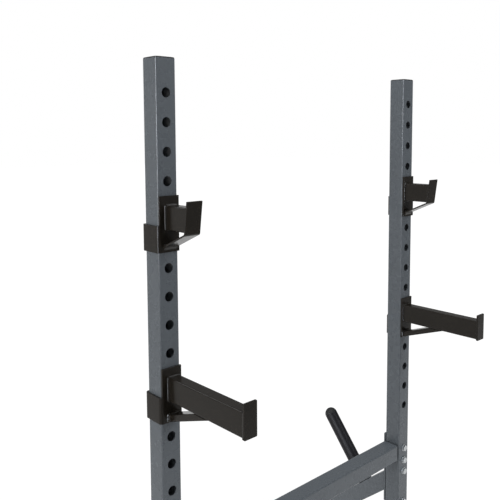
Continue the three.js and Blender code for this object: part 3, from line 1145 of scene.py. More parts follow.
@dataclass
class HexBolt:
    """A hexagon bolt with its washer and its nut, along one axis."""

    diameter: float = 10.0
    flats: float = 17.0
    head_height: float = 6.4
    nut_height: float = 8.0
    washer_diameter: float = 21.0
    washer_thickness: float = 1.8
    washer_edge: float = 0.3
    tail: float = 3.0
    thread_pitch: float = 1.5
    thread_depth: float = 0.75
    thread_lead_in: float = 0.8
    thread_lead_in_steps: int = 2
    thread_steps_per_turn: int = 6
    chamfer_share: float = 0.97
    chamfer_degrees: float = 30.0
    join: float = 0.02
    around: int = 48

    def hexagon(self, limit: float, angle: float) -> float:
        """The radius of a hexagon whose corners are turned down.

        Args:
            limit: The largest radius left by the chamfer.
            angle: The angle round the axis.

        Returns:
            The radius.
        """
        sector = (angle + HALF_SECTOR) % (2 * HALF_SECTOR) - HALF_SECTOR
        return min(self.flats / 2 / math.cos(sector), limit)

    def block(self, low: float, high: float, chamfer_low: bool) -> list[tuple[float, Radius]]:
        """The profile of a bolt head or a nut.

        Args:
            low: Its lower height.
            high: Its upper height, where the corners are turned down.
            chamfer_low: True where its lower corners are turned down too.

        Returns:
            Heights with their radius functions.
        """
        corner = self.flats / 2 / math.cos(HALF_SECTOR)
        inner = self.flats / 2 * self.chamfer_share
        drop = (corner - inner) * math.tan(math.radians(self.chamfer_degrees))
        full, turned = partial(self.hexagon, corner), partial(self.hexagon, inner)
        start = [(low, turned), (low + drop, full)] if chamfer_low else [(low, full)]
        return [*start, (high - drop, full), (high, turned)]

    def thread_radius(self, height: float, shrink: float, angle: float) -> float:
        """The radius of the thread.

        Args:
            height: The height along the axis.
            shrink: How much the end is turned down there.
            angle: The angle round the axis.

        Returns:
            The radius.
        """
        wave = (height / self.thread_pitch + angle / (2 * math.pi)) % 1.0
        return self.diameter / 2 - shrink - self.thread_depth * abs(2 * wave - 1)

    def thread(self, low: float, high: float) -> list[tuple[float, Radius]]:
        """The profile of a threaded end.

        Args:
            low: Its free end.
            high: Where it goes into the nut.

        Returns:
            Heights with their radius functions.
        """
        turns = (high - low) / self.thread_pitch
        steps = max(self.thread_lead_in_steps, round(turns * self.thread_steps_per_turn))
        profile = []
        for i in range(steps + 1):
            height = low + (high - low) * i / steps
            shrink = max(0.0, self.thread_lead_in * (1 - i / self.thread_lead_in_steps))
            profile.append((height, partial(self.thread_radius, height, shrink)))
        return profile

    def build(self, matrix: Matrix, grip: float, bm: bmesh.types.BMesh) -> None:
        """Adds the bolt to a mesh.

        Args:
            matrix: Turns the bolt's coordinates into metres in the stand's frame.
            grip: The thickness between washer and nut.
            bm: The mesh that gets the bolt.
        """
        washer, edge = self.washer_diameter / 2, self.washer_edge
        seat = self.washer_thickness - self.join
        nut_low = -grip - self.nut_height
        washer_profile = [(0.0, washer - edge), (edge, washer), (seat - edge, washer), (seat, washer - edge)]
        spin(bm, matrix, washer_profile, self.around)
        spin(bm, matrix, self.block(seat, self.washer_thickness + self.head_height, False), self.around)
        spin(bm, matrix, [(-grip, self.diameter / 2), (self.join, self.diameter / 2)], self.around)
        spin(bm, matrix, self.block(nut_low, -grip, True), self.around)
        spin(bm, matrix, self.thread(nut_low - self.tail, nut_low + self.join), self.around)


def middle(node: str, axis: int) -> float:
    """The middle of a node's box along an axis, in millimetres."""
    low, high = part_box(node)
    return (low[axis] + high[axis]) / 2 / MM


def down_bolt(shop: Workshop, side: Side, node: str, plate_top: float) -> None:
    """Makes a bolt that runs down through a plate into the foot's upper wall.

    Args:
        shop: Makes the piece.
        side: The side that it is on.
        node: The node that it stands for.
        plate_top: Height of the plate's upper face.
    """
    bolt = HexBolt()
    seat = side.place((0, middle(node, 1), plate_top + SEAT_GAP))
    grip = plate_top + SEAT_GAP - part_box(node)[0].z / MM - bolt.nut_height - bolt.tail
    matrix = axis_frame(seat, Vector((0, 0, 1)))
    shop.piece(f"{node}_hex", FRAME_BODY, ZINC, partial(bolt.build, matrix, grip), [node])


def through_bolt(shop: Workshop, side: Side, node: str) -> None:
    """Makes a bolt that runs from an upright's front to its back.

    Args:
        shop: Makes the piece.
        side: The side that it is on.
        node: The node that it stands for.
    """
    bolt = HexBolt()
    low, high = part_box(node)
    front = low.y / MM + bolt.head_height + bolt.washer_thickness
    back = high.y / MM - bolt.nut_height - bolt.tail
    matrix = axis_frame(side.place((0, front, middle(node, 2))), Vector((0, -1, 0)))
    shop.piece(f"{node}_hex", FRAME_BODY, ZINC, partial(bolt.build, matrix, back - front), [node])


@dataclass
class Upright:
    """A drilled square tube with its plastic cap."""

    side: Side
    bottom: float = 61.7
    top: float = 1724.0
    hole_diameter: float = 22.2
    hole_count: int = 16
    rim: float = 0.35
    cap_thickness: float = 3.0
    cap_edge: float = 2.6
    cap_crown: float = 0.5
    cap_inset: float = 0.15
    cap_pillow: float = 2.0
    cap_round_share: float = 0.8
    cap_corner_steps: int = 10
    cap_edge_steps: int = 8
    cap_crown_shares: tuple[float, ...] = (0.25, 0.5, 0.75, 0.95)
    plug_depth: float = 16.0
    plug_clearance: float = 0.4
    plug_wall: float = 2.0

    @property
    def through_bolts(self) -> tuple[str, ...]:
        """The nodes of the bolts that run through the tube."""
        label = self.side.label
        return tuple(f"{label}_{plate}_{at}_bolt" for plate in ("tab", "brace") for at in BOLT_PLACES)

    def tube(self, bm: bmesh.types.BMesh) -> None:
        """Adds the tube, open at both ends."""
        cuts = (Cut((0, 0, self.bottom), (0, 0, 1)), Cut((0, 0, self.top), (0, 0, 1)))
        frame_tube(self.side, (0, 0, self.bottom), (0, 0, 1), cuts).build(bm)

    def holes(self, bm: bmesh.types.BMesh) -> None:
        """Adds a cylinder for each adjustment hole and each bolt hole.

        Args:
            bm: The mesh that gets the cylinders.
        """
        places = [(0.0, TOP_HOLE_HEIGHT - i * HOLE_PITCH, self.hole_diameter) for i in range(self.hole_count)]
        places += [(0.0, middle(bolt, 2), BOLT_HOLE) for bolt in self.through_bolts]
        drills(bm, self.side, View.FRONT, places, -TUBE, TUBE)

    def cap_ring(self, shrink: float, height: float) -> list[Vector]:
        """A ring round the cap.

        Args:
            shrink: How far it lies inside the tube's outline.
            height: Its height.

        Returns:
            The ring's points.
        """
        half = TUBE / 2 - shrink
        corner = min(TUBE_CORNER + self.cap_pillow * shrink, self.cap_round_share * half)
        outline = rounded_outline(half, half, corner, self.cap_corner_steps)
        return [self.side.place((p.x, p.y, height)) for p, _ in outline]

    def cap(self, bm: bmesh.types.BMesh) -> None:
        """Adds the cap's crowned head and the hollow plug under it.

        Args:
            bm: The mesh that gets the cap.
        """
        under = self.top + SEAT_GAP
        shoulder = under + self.cap_thickness - self.cap_edge
        head = under + self.rim
        rings = [self.cap_ring(self.cap_inset + self.rim, under), self.cap_ring(self.cap_inset, head)]
        flank = self.cap_edge - self.cap_crown
        for i in range(self.cap_edge_steps + 1):
            angle = math.pi / 2 * i / self.cap_edge_steps
            shrink = self.cap_inset + self.cap_edge * (1 - math.cos(angle))
            rings.append(self.cap_ring(shrink, shoulder + flank * math.sin(angle)))
        for share in self.cap_crown_shares:
            shrink = self.cap_edge + (TUBE / 2 - self.cap_edge) * share
            height = shoulder + flank + self.cap_crown * math.sin(math.pi / 2 * share)
            rings.append(self.cap_ring(shrink, height))
        rings_to_skin(bm, rings, closed=False)
        outer = TUBE_WALL + self.plug_clearance
        inner = outer + self.plug_wall
        foot = self.top - self.plug_depth
        section = ((outer, foot), (outer, head), (inner, head), (inner, foot))
        rings_to_skin(bm, [self.cap_ring(shrink, height) for shrink, height in section], closed=True)

    def build(self, shop: Workshop) -> None:
        """Makes the drilled tube and the cap.

        Args:
            shop: Makes the pieces.
        """
        node = f"{self.side.label}_upright"
        shop.piece(f"{node}_tube", FRAME_BODY, FRAME_PAINT, self.tube, [node], self.holes, self.rim)
        shop.piece(f"{node}_end_cap", FRAME_BODY, CAP_PLASTIC, self.cap, [f"{node}_cap"])


@dataclass
class Foot:
    """A floor tube with its boots, the upright's base plate and its bolts."""

    side: Side
    tube_bottom: float = 5.3
    tube_end: float = 611.277
    hole_edge: float = 0.3
    plate_top: float = 61.4
    plate_end: float = 75.0
    plate_corner: float = 4.0
    boot_half: float = 30.7
    boot_length: float = 51.3
    boot_wall: float = 5.3
    boot_corner: float = 7.0
    boot_corner_steps: int = 10
    boot_edge: float = 1.4
    pocket_half: float = 25.7
    groove_width: float = 3.0
    groove_depth: float = 1.5
    groove_count: int = 5
    weld: FilletWeld = field(default_factory=lambda: FilletWeld(leg=5.0, scale_pitch=3.0))

    @property
    def middle_height(self) -> float:
        """Height of the tube's centre line."""
        return self.tube_bottom + TUBE / 2

    @property
    def bolts(self) -> dict[str, tuple[str, str]]:
        """The bolts through each of the plates on the foot, front one first."""
        stems = {plate: f"{self.side.label}_{plate}" for plate in ("base", "brace_foot")}
        return {plate: (f"{stem}_front_bolt", f"{stem}_rear_bolt") for plate, stem in stems.items()}

    def tube(self, bm: bmesh.types.BMesh) -> None:
        """Adds the foot's tube.

        Args:
            bm: The mesh that gets the tube.
        """
        centre = (0, 0, self.middle_height)
        cuts = (Cut((0, -self.tube_end, 0), (0, 1, 0)), Cut((0, self.tube_end, 0), (0, 1, 0)))
        frame_tube(self.side, centre, (0, 1, 0), cuts).build(bm)

    def bolt_holes(self, plates: Sequence[str], bm: bmesh.types.BMesh) -> None:
        """Adds a cylinder for each bolt through the foot's upper wall and plates.

        Args:
            plates: The plates whose bolts are meant.
            bm: The mesh that gets the cylinders.
        """
        places = [(0.0, middle(bolt, 1), BOLT_HOLE) for plate in plates for bolt in self.bolts[plate]]
        drills(bm, self.side, View.PLAN, places, self.middle_height, 2 * self.plate_top)

    def plate(self, low: float, high: float, bm: bmesh.types.BMesh) -> None:
        """Adds a plate on top of the foot.

        Args:
            low: Its front end.
            high: Its rear end.
            bm: The mesh that gets the plate.
        """
        outline = plate_outline((-TUBE / 2, low), (TUBE / 2, high), self.plate_corner)
        draw_out(bm, self.side, View.PLAN, outline, self.plate_top - FRAME_PLATE, self.plate_top)

    def boot(self, way: int, bm: bmesh.types.BMesh) -> None:
        """Adds a boot's body.

        Args:
            way: -1 for the front boot, 1 for the rear one.
            bm: The mesh that gets the body.
        """
        tip = self.tube_end + self.boot_wall
        outline = rounded_outline(self.boot_half, self.boot_half, self.boot_corner, self.boot_corner_steps)
        shape = [Vector((p.x, p.y + self.middle_height)) for p, _ in outline]
        draw_out(bm, self.side, View.FRONT, shape, way * (tip - self.boot_length), way * tip)

    def boot_waste(self, way: int, bm: bmesh.types.BMesh) -> None:
        """Adds what is cut from a boot: its pocket and the grooves in its sole.

        Args:
            way: -1 for the front boot, 1 for the rear one.
            bm: The mesh that gets the cutters.
        """
        tip = self.tube_end + self.boot_wall
        mouth = tip - self.boot_length
        outline = rounded_outline(self.pocket_half, self.pocket_half, TUBE_CORNER)
        pocket = [Vector((p.x, p.y + self.middle_height)) for p, _ in outline]
        draw_out(bm, self.side, View.FRONT, pocket, way * (mouth - self.boot_wall), way * self.tube_end)
        pitch = self.boot_length / (self.groove_count + 1)
        reach = 2 * self.boot_half
        for i in range(self.groove_count):
            y = way * (tip - (i + 1) * pitch)
            low = (-reach, y - self.groove_width / 2, -self.groove_depth)
            block(bm, self.side, low, (reach, y + self.groove_width / 2, self.groove_depth))

    def seams(self, bm: bmesh.types.BMesh) -> None:
        """Adds the welds in front of the upright and behind it.

        Args:
            bm: The mesh that gets the welds.
        """
        reach = TUBE / 2 - TUBE_CORNER
        for way in (-1, 1):
            y = way * TUBE / 2
            start, end = (-reach, y, self.plate_top), (reach, y, self.plate_top)
            self.weld.lay(bm, straight_seam(self.side, start, end, (0, 0, 1), (0, way, 0)))

    def build(self, shop: Workshop) -> None:
        """Makes the foot's tube, plates, boots, welds and bolts.

        Args:
            shop: Makes the pieces.
        """
        label = self.side.label
        foot, base, rear = f"{label}_foot", f"{label}_base_plate", f"{label}_brace_foot_plate"
        holes = partial(self.bolt_holes, tuple(self.bolts))
        shop.piece(f"{foot}_tube", FRAME_BODY, FRAME_PAINT, self.tube, [foot], holes, self.hole_edge)
        ends = [end.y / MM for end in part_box(rear)]
        plates = ((base, "base", -self.plate_end, self.plate_end), (rear, "brace_foot", *ends))
        for node, plate, low, high in plates:
            shape, holes = partial(self.plate, low, high), partial(self.bolt_holes, (plate,))
            shop.piece(f"{node}_steel", FRAME_BODY, FRAME_PAINT, shape, [node], holes, PLATE_EDGE)
        for end, way in (("front", -1), ("rear", 1)):
            node = f"{label}_{end}_boot"
            shape, waste = partial(self.boot, way), partial(self.boot_waste, way)
            shop.piece(f"{node}_rubber", FRAME_BODY, BOOT_RUBBER, shape, [node], waste, self.boot_edge)
        shop.piece(f"{label}_base_welds", FRAME_BODY, FRAME_WELD, self.seams)
        for pair in self.bolts.values():
            for bolt in pair:
                down_bolt(shop, self.side, bolt, self.plate_top)


@dataclass
class RearBrace:
    """The slanting tube behind an upright, with its top plate, bolts and storage peg."""

    side: Side
    slope_degrees: float = 39.6
    plate_face: float = 30.7
    plate_corner: float = 4.0
    top_height: float = 433.04
    foot_plate_top: float = 61.4
    peg_along: float = 102.6
    peg_radius: float = 21.2
    peg_wall: float = 2.5
    peg_length: float = 238.3
    peg_edge: float = 0.4
    peg_facets: int = 96
    peg_seam_facets: int = 48
    dome_steps: int = 20
    dome_flat_radius: float = 0.424
    plug_depth: float = 18.0
    plug_clearance: float = 0.3
    weld: FilletWeld = field(default_factory=lambda: FilletWeld(leg=5.0, scale_pitch=3.0))
    peg_weld: FilletWeld = field(default_factory=lambda: FilletWeld(leg=3.6, scale_pitch=2.6))

    @property
    def down(self) -> Vector:
        """The direction down along the brace."""
        slope = math.radians(self.slope_degrees)
        return Vector((0.0, math.cos(slope), -math.sin(slope)))

    @property
    def off(self) -> Vector:
        """The direction square off the brace's upper side."""
        slope = math.radians(self.slope_degrees)
        return Vector((0.0, math.sin(slope), math.cos(slope)))

    @property
    def peg_foot(self) -> Vector:
        """Where the peg's axis meets the brace's upper side."""
        start = Vector((0.0, self.plate_face, self.top_height))
        return start + self.down * self.peg_along + self.off * (TUBE / 2)

    def tube(self, bm: bmesh.types.BMesh) -> None:
        """Adds the tube, cut off plumb at its top and level at its foot.

        Args:
            bm: The mesh that gets the tube.
        """
        plumb = Cut((0, self.plate_face + SEAT_GAP, 0), (0, 1, 0))
        level = Cut((0, 0, self.foot_plate_top + SEAT_GAP), (0, 0, 1))
        centre = (0, self.plate_face, self.top_height)
        frame_tube(self.side, centre, tuple(self.down), (plumb, level)).build(bm)

    def top_plate(self, bm: bmesh.types.BMesh) -> None:
        """Adds the plate behind the upright.

        Args:
            bm: The mesh that gets the plate.
        """
        low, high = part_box(f"{self.side.label}_brace_top_plate")
        outline = plate_outline((-TUBE / 2, low.z / MM), (TUBE / 2, high.z / MM), self.plate_corner)
        draw_out(bm, self.side, View.FRONT, outline, self.plate_face - FRAME_PLATE, self.plate_face)

    def top_plate_holes(self, bm: bmesh.types.BMesh) -> None:
        """Adds a cylinder for each bolt through the plate.

        Args:
            bm: The mesh that gets the cylinders.
        """
        label = self.side.label
        places = [(0.0, middle(f"{label}_brace_{at}_bolt", 2), BOLT_HOLE) for at in BOLT_PLACES]
        drills(bm, self.side, View.FRONT, places, 0.0, TUBE)

    def seams(self, bm: bmesh.types.BMesh) -> None:
        """Adds the welds at both ends of the brace.

        Args:
            bm: The mesh that gets the welds.
        """
        slope = math.radians(self.slope_degrees)
        reach = TUBE / 2 - TUBE_CORNER
        rise, run = TUBE / 2 / math.cos(slope), TUBE / 2 / math.sin(slope)
        foot_y = self.plate_face + (self.top_height - self.foot_plate_top) / math.tan(slope)
        for way in (-1, 1):
            z = self.top_height + way * rise
            start, end = (-reach, self.plate_face, z), (reach, self.plate_face, z)
            self.weld.lay(bm, straight_seam(self.side, start, end, tuple(self.down), (0, 0, way)))
            y = foot_y + way * run
            start, end = (-reach, y, self.foot_plate_top), (reach, y, self.foot_plate_top)
            self.weld.lay(bm, straight_seam(self.side, start, end, tuple(-self.down), (0, way, 0)))

    def peg_seam(self, bm: bmesh.types.BMesh) -> None:
        """Adds the weld round the peg's lower end.

        Args:
            bm: The mesh that gets the weld.
        """
        seam = []
        for i in range(self.peg_seam_facets):
            angle = 2 * math.pi * i / self.peg_seam_facets
            outward = Vector((1.0, 0.0, 0.0)) * math.cos(angle) + self.down * math.sin(angle)
            place = self.side.place(self.peg_foot + outward * self.peg_radius) / MM
            seam.append(SeamPoint(place, self.side.turn(self.off), self.side.turn(outward)))
        self.peg_weld.lay(bm, seam, closed=True)

    @property
    def peg_frame(self) -> Matrix:
        """The peg's own frame, with its axis along z."""
        return axis_frame(self.side.place(self.peg_foot + self.off * SEAT_GAP), self.side.turn(self.off))

    def peg(self, bm: bmesh.types.BMesh) -> None:
        """Adds the peg's tube.

        Args:
            bm: The mesh that gets the tube.
        """
        outer, inner, edge = self.peg_radius, self.peg_radius - self.peg_wall, self.peg_edge
        top = self.peg_length
        profile = [(0, outer), (top - edge, outer), (top, outer - edge), (top, inner), (0, inner)]
        spin(bm, self.peg_frame, profile, self.peg_facets, closed=True)

    def peg_cap(self, bm: bmesh.types.BMesh) -> None:
        """Adds the domed cap with its plug.

        Args:
            bm: The mesh that gets the cap.
        """
        base = self.peg_length + SEAT_GAP
        plug = self.peg_radius - self.peg_wall - self.plug_clearance
        dome = []
        for i in range(self.dome_steps):
            angle = math.pi / 2 * i / self.dome_steps
            dome.append((base + self.peg_radius * math.sin(angle), self.peg_radius * math.cos(angle)))
        flat = (base + self.peg_radius, self.dome_flat_radius)
        profile = [(base - self.plug_depth, plug), (base, plug), *dome, flat]
        spin(bm, self.peg_frame, profile, self.peg_facets)

    def build(self, shop: Workshop) -> None:
        """Makes the brace, its plate, the peg, the welds and the bolts.

        Args:
            shop: Makes the pieces.
        """
        label = self.side.label
        brace, plate, peg = f"{label}_rear_brace", f"{label}_brace_top_plate", f"{label}_storage_peg"
        holes = self.top_plate_holes
        shop.piece(f"{brace}_tube", FRAME_BODY, FRAME_PAINT, self.tube, [brace])
        shop.piece(f"{plate}_steel", FRAME_BODY, FRAME_PAINT, self.top_plate, [plate], holes, PLATE_EDGE)
        shop.piece(f"{peg}_tube", FRAME_BODY, PEG_PAINT, self.peg, [peg])
        shop.piece(f"{peg}_dome", FRAME_BODY, CAP_PLASTIC, self.peg_cap, [f"{peg}_cap"])
        shop.piece(f"{label}_brace_welds", FRAME_BODY, FRAME_WELD, self.seams)
        shop.piece(f"{peg}_weld", FRAME_BODY, PEG_PAINT, self.peg_seam)
        for place in BOLT_PLACES:
            through_bolt(shop, self.side, f"{label}_brace_{place}_bolt")


@dataclass
class CrossMember:
    """The tube between the uprights, with the tabs behind the uprights that it is bolted on with."""

    height: float = 547.1
    end: float = 32.9
    tab_face: float = 30.7
    tab_half: float = 27.0
    tab_half_height: float = 47.5
    tongue_end: float = 87.0
    tongue_half_height: float = 18.0
    tab_corner: float = 2.0
    tab_edge: float = 0.4
    weld: FilletWeld = field(default_factory=lambda: FilletWeld(leg=4.5, scale_pitch=3.0))
    end_weld: FilletWeld = field(default_factory=lambda: FilletWeld(leg=3.0, scale_pitch=2.6))

    def tube(self, bm: bmesh.types.BMesh) -> None:
        """Adds the tube."""
        cuts = (Cut((self.end, 0, 0), (1, 0, 0)), Cut((UPRIGHT_SPACING - self.end, 0, 0), (1, 0, 0)))
        frame_tube(Side.LEFT, (0, 0, self.height), (1, 0, 0), cuts, (0, 1, 0)).build(bm)

    def tab(self, side: Side, bm: bmesh.types.BMesh) -> None:
        """Adds a tab: a plate behind the upright with a tongue behind the tube.

        Args:
            side: The side that it is on.
            bm: The mesh that gets the tab.
        """
        half, tall, tongue = self.tab_half, self.tab_half_height, self.tongue_half_height
        corners = [
            (-half, -tall), (half, -tall), (half, -tongue), (self.tongue_end, -tongue),
            (self.tongue_end, tongue), (half, tongue), (half, tall), (-half, tall),
        ]
        placed = [(u, z + self.height, self.tab_corner) for u, z in corners]
        outline = filleted(placed, PLATE_CORNER_STEPS)
        draw_out(bm, side, View.FRONT, outline, self.tab_face - FRAME_PLATE, self.tab_face)

    def tab_holes(self, side: Side, bm: bmesh.types.BMesh) -> None:
        """Adds a cylinder for each bolt through a tab."""
        places = [(0.0, middle(f"{side.label}_tab_{at}_bolt", 2), BOLT_HOLE) for at in BOLT_PLACES]
        drills(bm, side, View.FRONT, places, 0.0, TUBE)

    def seams(self, side: Side, bm: bmesh.types.BMesh) -> None:
        """Adds the welds round a tab's tongue and at the tube's end.

        Args:
            side: The side that the tab is on.
            bm: The mesh that gets the welds.
        """
        back, reach = TUBE / 2, self.tongue_end
        for way in (-1, 1):
            z = self.height + way * self.tongue_half_height
            seam = straight_seam(side, (self.end, back, z), (reach, back, z), (0, 0, way), (0, 1, 0))
            self.weld.lay(bm, seam)
        low, high = self.height - self.tongue_half_height, self.height + self.tongue_half_height
        self.weld.lay(bm, straight_seam(side, (reach, back, low), (reach, back, high), (1, 0, 0), (0, 1, 0)))
        front = self.tab_face - FRAME_PLATE
        seam = straight_seam(side, (self.end, front, low), (self.end, front, high), (-1, 0, 0), (0, -1, 0))
        self.end_weld.lay(bm, seam)

    def build(self, shop: Workshop) -> None:
        """Makes the tube, the tabs, the welds and the bolts.

        Args:
            shop: Makes the pieces.
        """
        shop.piece("cross_member_tube", FRAME_BODY, FRAME_PAINT, self.tube, ["cross_member"])
        for side in Side:
            node = f"{side.label}_tab"
            shape, holes = partial(self.tab, side), partial(self.tab_holes, side)
            shop.piece(f"{node}_steel", FRAME_BODY, FRAME_PAINT, shape, [node], holes, self.tab_edge)
            shop.piece(f"{node}_welds", FRAME_BODY, FRAME_WELD, partial(self.seams, side))
            for place in BOLT_PLACES:
                through_bolt(shop, side, f"{node}_{place}_bolt")


@dataclass
class PinnedArm:
    """What a hook and a spotter share: bracket, pin, arm tube and the weld between arm and bracket."""

    side: Side
    kind: str = "arm"
    hole_index: int = 0
    bracket_inside: float = 25.9
    bracket_plate: float = 4.8
    bracket_bend: float = 3.0
    bracket_edge: float = 0.6
    waste_reach: float = 203.2
    above_pin: float = 32.5
    below_pin: float = 90.5
    wing_below_pin: float = 31.5
    rear_flange_reach: float = 19.5
    pin_radius: float = 10.0
    pin_chamfer: float = 2.0
    arm_width: float = 30.0
    arm_height: float = 53.5
    arm_wall: float = 2.5
    arm_corner: float = 3.0
    arm_inner_corner: float = 1.25
    arm_offset: float = 5.0
    arm_above_pin: float = 12.0
    weld: FilletWeld = field(default_factory=lambda: FilletWeld(leg=3.2, scale_pitch=2.6, bulge=0.4))
    weld_room: float = 4.8

    @property
    def name(self) -> str:
        """The arm's name, which is its body's name too."""
        return f"{self.side.label}_{self.kind}"

    @property
    def pin_height(self) -> float:
        """Height of the pin's axis."""
        return TOP_HOLE_HEIGHT - self.hole_index * HOLE_PITCH

    @property
    def plate_face(self) -> float:
        """The y of the bracket's front face."""
        return -self.bracket_inside - self.bracket_plate

    @property
    def arm_centre(self) -> float:
        """Height of the arm tube's centre line."""
        return self.pin_height + self.arm_above_pin - self.arm_height / 2

    @property
    def arm_end(self) -> Cut:
        """The plane that ends the arm tube in front."""
        raise NotImplementedError

    def bracket(self, bm: bmesh.types.BMesh) -> None:
        """Adds the bracket's bent plate at its full height.

        Args:
            bm: The mesh that gets the bracket.
        """
        inside, rear_end, front_end = self.bracket_inside, self.rear_flange_reach, TUBE / 2
        corners = ((rear_end, inside), (-inside, inside), (-inside, -inside), (front_end, -inside))
        outline = bent_sheet(corners, self.bracket_plate, self.bracket_bend)
        low, high = self.pin_height - self.below_pin, self.pin_height + self.above_pin
        draw_out(bm, self.side, View.PLAN, outline, low, high)

    def bracket_waste(self, bm: bmesh.types.BMesh) -> None:
        """Adds what is cut from the bracket above its wing: all but the front plate.

        Args:
            bm: The mesh that gets the cutter.
        """
        far, inside, edge = self.waste_reach, -self.bracket_inside, -TUBE / 2
        corners = ((edge, -far), (edge, inside), (far, inside), (far, far), (-far, far), (-far, -far))
        low = self.pin_height - self.wing_below_pin
        draw_out(bm, self.side, View.PLAN, [Vector(corner) for corner in corners], low, low + far)

    def pin(self, bm: bmesh.types.BMesh) -> None:
        """Adds the pin, chamfered at its free end.

        Args:
            bm: The mesh that gets the pin.
        """
        start = self.side.place((0, -self.bracket_inside + SEAT_GAP, self.pin_height))
        length = self.bracket_inside - SEAT_GAP + TUBE / 2
        radius, chamfer = self.pin_radius, self.pin_chamfer
        profile = [(0, radius), (length - chamfer, radius), (length, radius - chamfer)]
        spin(bm, axis_frame(start, Vector((0, 1, 0))), profile)

    def arm(self, bm: bmesh.types.BMesh) -> None:
        """Adds the arm's tube.

        Args:
            bm: The mesh that gets the tube.
        """
        seat = Cut((0, self.plate_face - SEAT_GAP, 0), (0, 1, 0))
        centre = (self.arm_offset, 0, self.arm_centre)
        run = TubeRun(
            self.side, self.arm_width, self.arm_height, self.arm_wall, self.arm_corner, self.arm_inner_corner,
            centre, (0, -1, 0), (seat, self.arm_end),
        )
        run.build(bm)

    def arm_seam(self, plane_y: Callable[[float], float], away: float, margins: Margins) -> list[SeamPoint]:
        """The seam round the arm's section where it meets a plane.

        Args:
            plane_y: The plane's y at each height above the floor.
            away: Which way along y the arm leads away from the plane.
            margins: How far the plane reaches past the arm.

        Returns:
            The seam's points.
        """
        seam = TubeSeam(
            self.arm_offset, self.arm_centre, self.arm_width, self.arm_height, self.arm_corner,
            plane_y, (0, away, 0), margins,
        )
        return seam.points(self.side)

    def welds(self, bm: bmesh.types.BMesh) -> None:
        """Adds the weld round the arm at the bracket."""
        seam = self.arm_seam(lambda _: self.plate_face, -1.0, Margins(inner=self.weld_room))
        self.weld.lay(bm, seam, closed=True)

    def build(self, shop: Workshop) -> None:
        """Makes the bracket, the pin, the arm and the welds.

        Args:
            shop: Makes the pieces.
        """
        name = self.name
        bracket, arm, pin = f"{name}_bracket", f"{name}_arm", f"{name}_pin"
        waste, edge = self.bracket_waste, self.bracket_edge
        shop.piece(f"{bracket}_steel", name, BLACK_PAINT, self.bracket, [bracket], waste, edge)
        shop.piece(f"{arm}_tube", name, BLACK_PAINT, self.arm, [arm])
        shop.piece(f"{pin}_steel", name, ZINC, self.pin, [pin])
        shop.piece(f"{name}_welds", name, BLACK_WELD, self.welds)


@dataclass
class Hook(PinnedArm):
    """A short hook whose lip and brace are bent from one strip."""

    kind: str = "hook"
    hole_index: int = 4
    strip_width: float = 40.0
    strip_thickness: float = 4.0
    strip_offset: float = 1.5
    strip_bend: float = 1.5
    corner_y: float = -107.2
    corner_below_pin: float = 42.7
    lip_lean_degrees: float = 7.8
    lip_height: float = 69.4
    strip_end_below_pin: float = 76.5
    lip_weld: FilletWeld = field(default_factory=lambda: FilletWeld(leg=3.2, scale_pitch=2.4))
    strip_weld: FilletWeld = field(default_factory=lambda: FilletWeld(leg=4.6))

    def lip_y(self, z: float) -> float:
        """The y of the lip's inner face at a height above the floor."""
        above = z - (self.pin_height - self.corner_below_pin)
        return self.corner_y - above * math.tan(math.radians(self.lip_lean_degrees))

    @property
    def arm_end(self) -> Cut:
        """The plane that ends the arm tube at the leaning lip.

        Returns:
            The plane, a seat gap behind the lip.
        """
        lean = math.radians(self.lip_lean_degrees)
        through = (0, self.corner_y + SEAT_GAP, self.pin_height - self.corner_below_pin)
        return Cut(through, (0, math.cos(lean), math.sin(lean)))

    @property
    def strip_slope(self) -> float:
        """The angle at which the strip runs down to the bracket."""
        drop = self.strip_end_below_pin - self.corner_below_pin
        return math.atan2(drop, self.plate_face - self.corner_y)

    def strip(self, bm: bmesh.types.BMesh) -> None:
        """Adds the strip: the lip, the bend and the brace down to the bracket.

        Args:
            bm: The mesh that gets the strip.
        """
        corner_z = self.pin_height - self.corner_below_pin
        top_z = corner_z + self.lip_height
        inside = ((self.lip_y(top_z), top_z), (self.corner_y, corner_z),
                  (self.plate_face, self.pin_height - self.strip_end_below_pin))
        outline = bent_sheet(inside, self.strip_thickness, self.strip_bend, self.plate_face - SEAT_GAP)
        half = self.strip_width / 2
        draw_out(bm, self.side, View.PROFILE, outline, self.strip_offset - half, self.strip_offset + half)

    def welds(self, bm: bmesh.types.BMesh) -> None:
        """Adds the welds at the bracket, at the lip and along the strip's lower end.

        Args:
            bm: The mesh that gets the welds.
        """
        super().welds(bm)
        overhang = self.strip_width / 2 + self.strip_offset - self.arm_width / 2 - self.arm_offset
        self.lip_weld.lay(bm, self.arm_seam(self.lip_y, 1.0, Margins(inner=overhang)), closed=True)
        slope = self.strip_slope
        away = (0.0, -math.cos(slope), math.sin(slope))
        half = self.strip_width / 2 - self.strip_thickness / 2
        inner_z = self.pin_height - self.strip_end_below_pin
        outer_z = inner_z - self.strip_thickness / math.cos(slope)
        low, high = self.strip_offset - half, self.strip_offset + half
        for way, z in ((1, inner_z), (-1, outer_z)):
            start, end = (low, self.plate_face, z), (high, self.plate_face, z)
            self.strip_weld.lay(bm, straight_seam(self.side, start, end, away, (0, 0, way)))

    def build(self, shop: Workshop) -> None:
        """Makes the hook's pieces.

        Args:
            shop: Makes the pieces.
        """
        super().build(shop)
        node = f"{self.name}_strip"
        shop.piece(f"{node}_steel", self.name, BLACK_PAINT, self.strip, [node], edge=PLATE_EDGE)


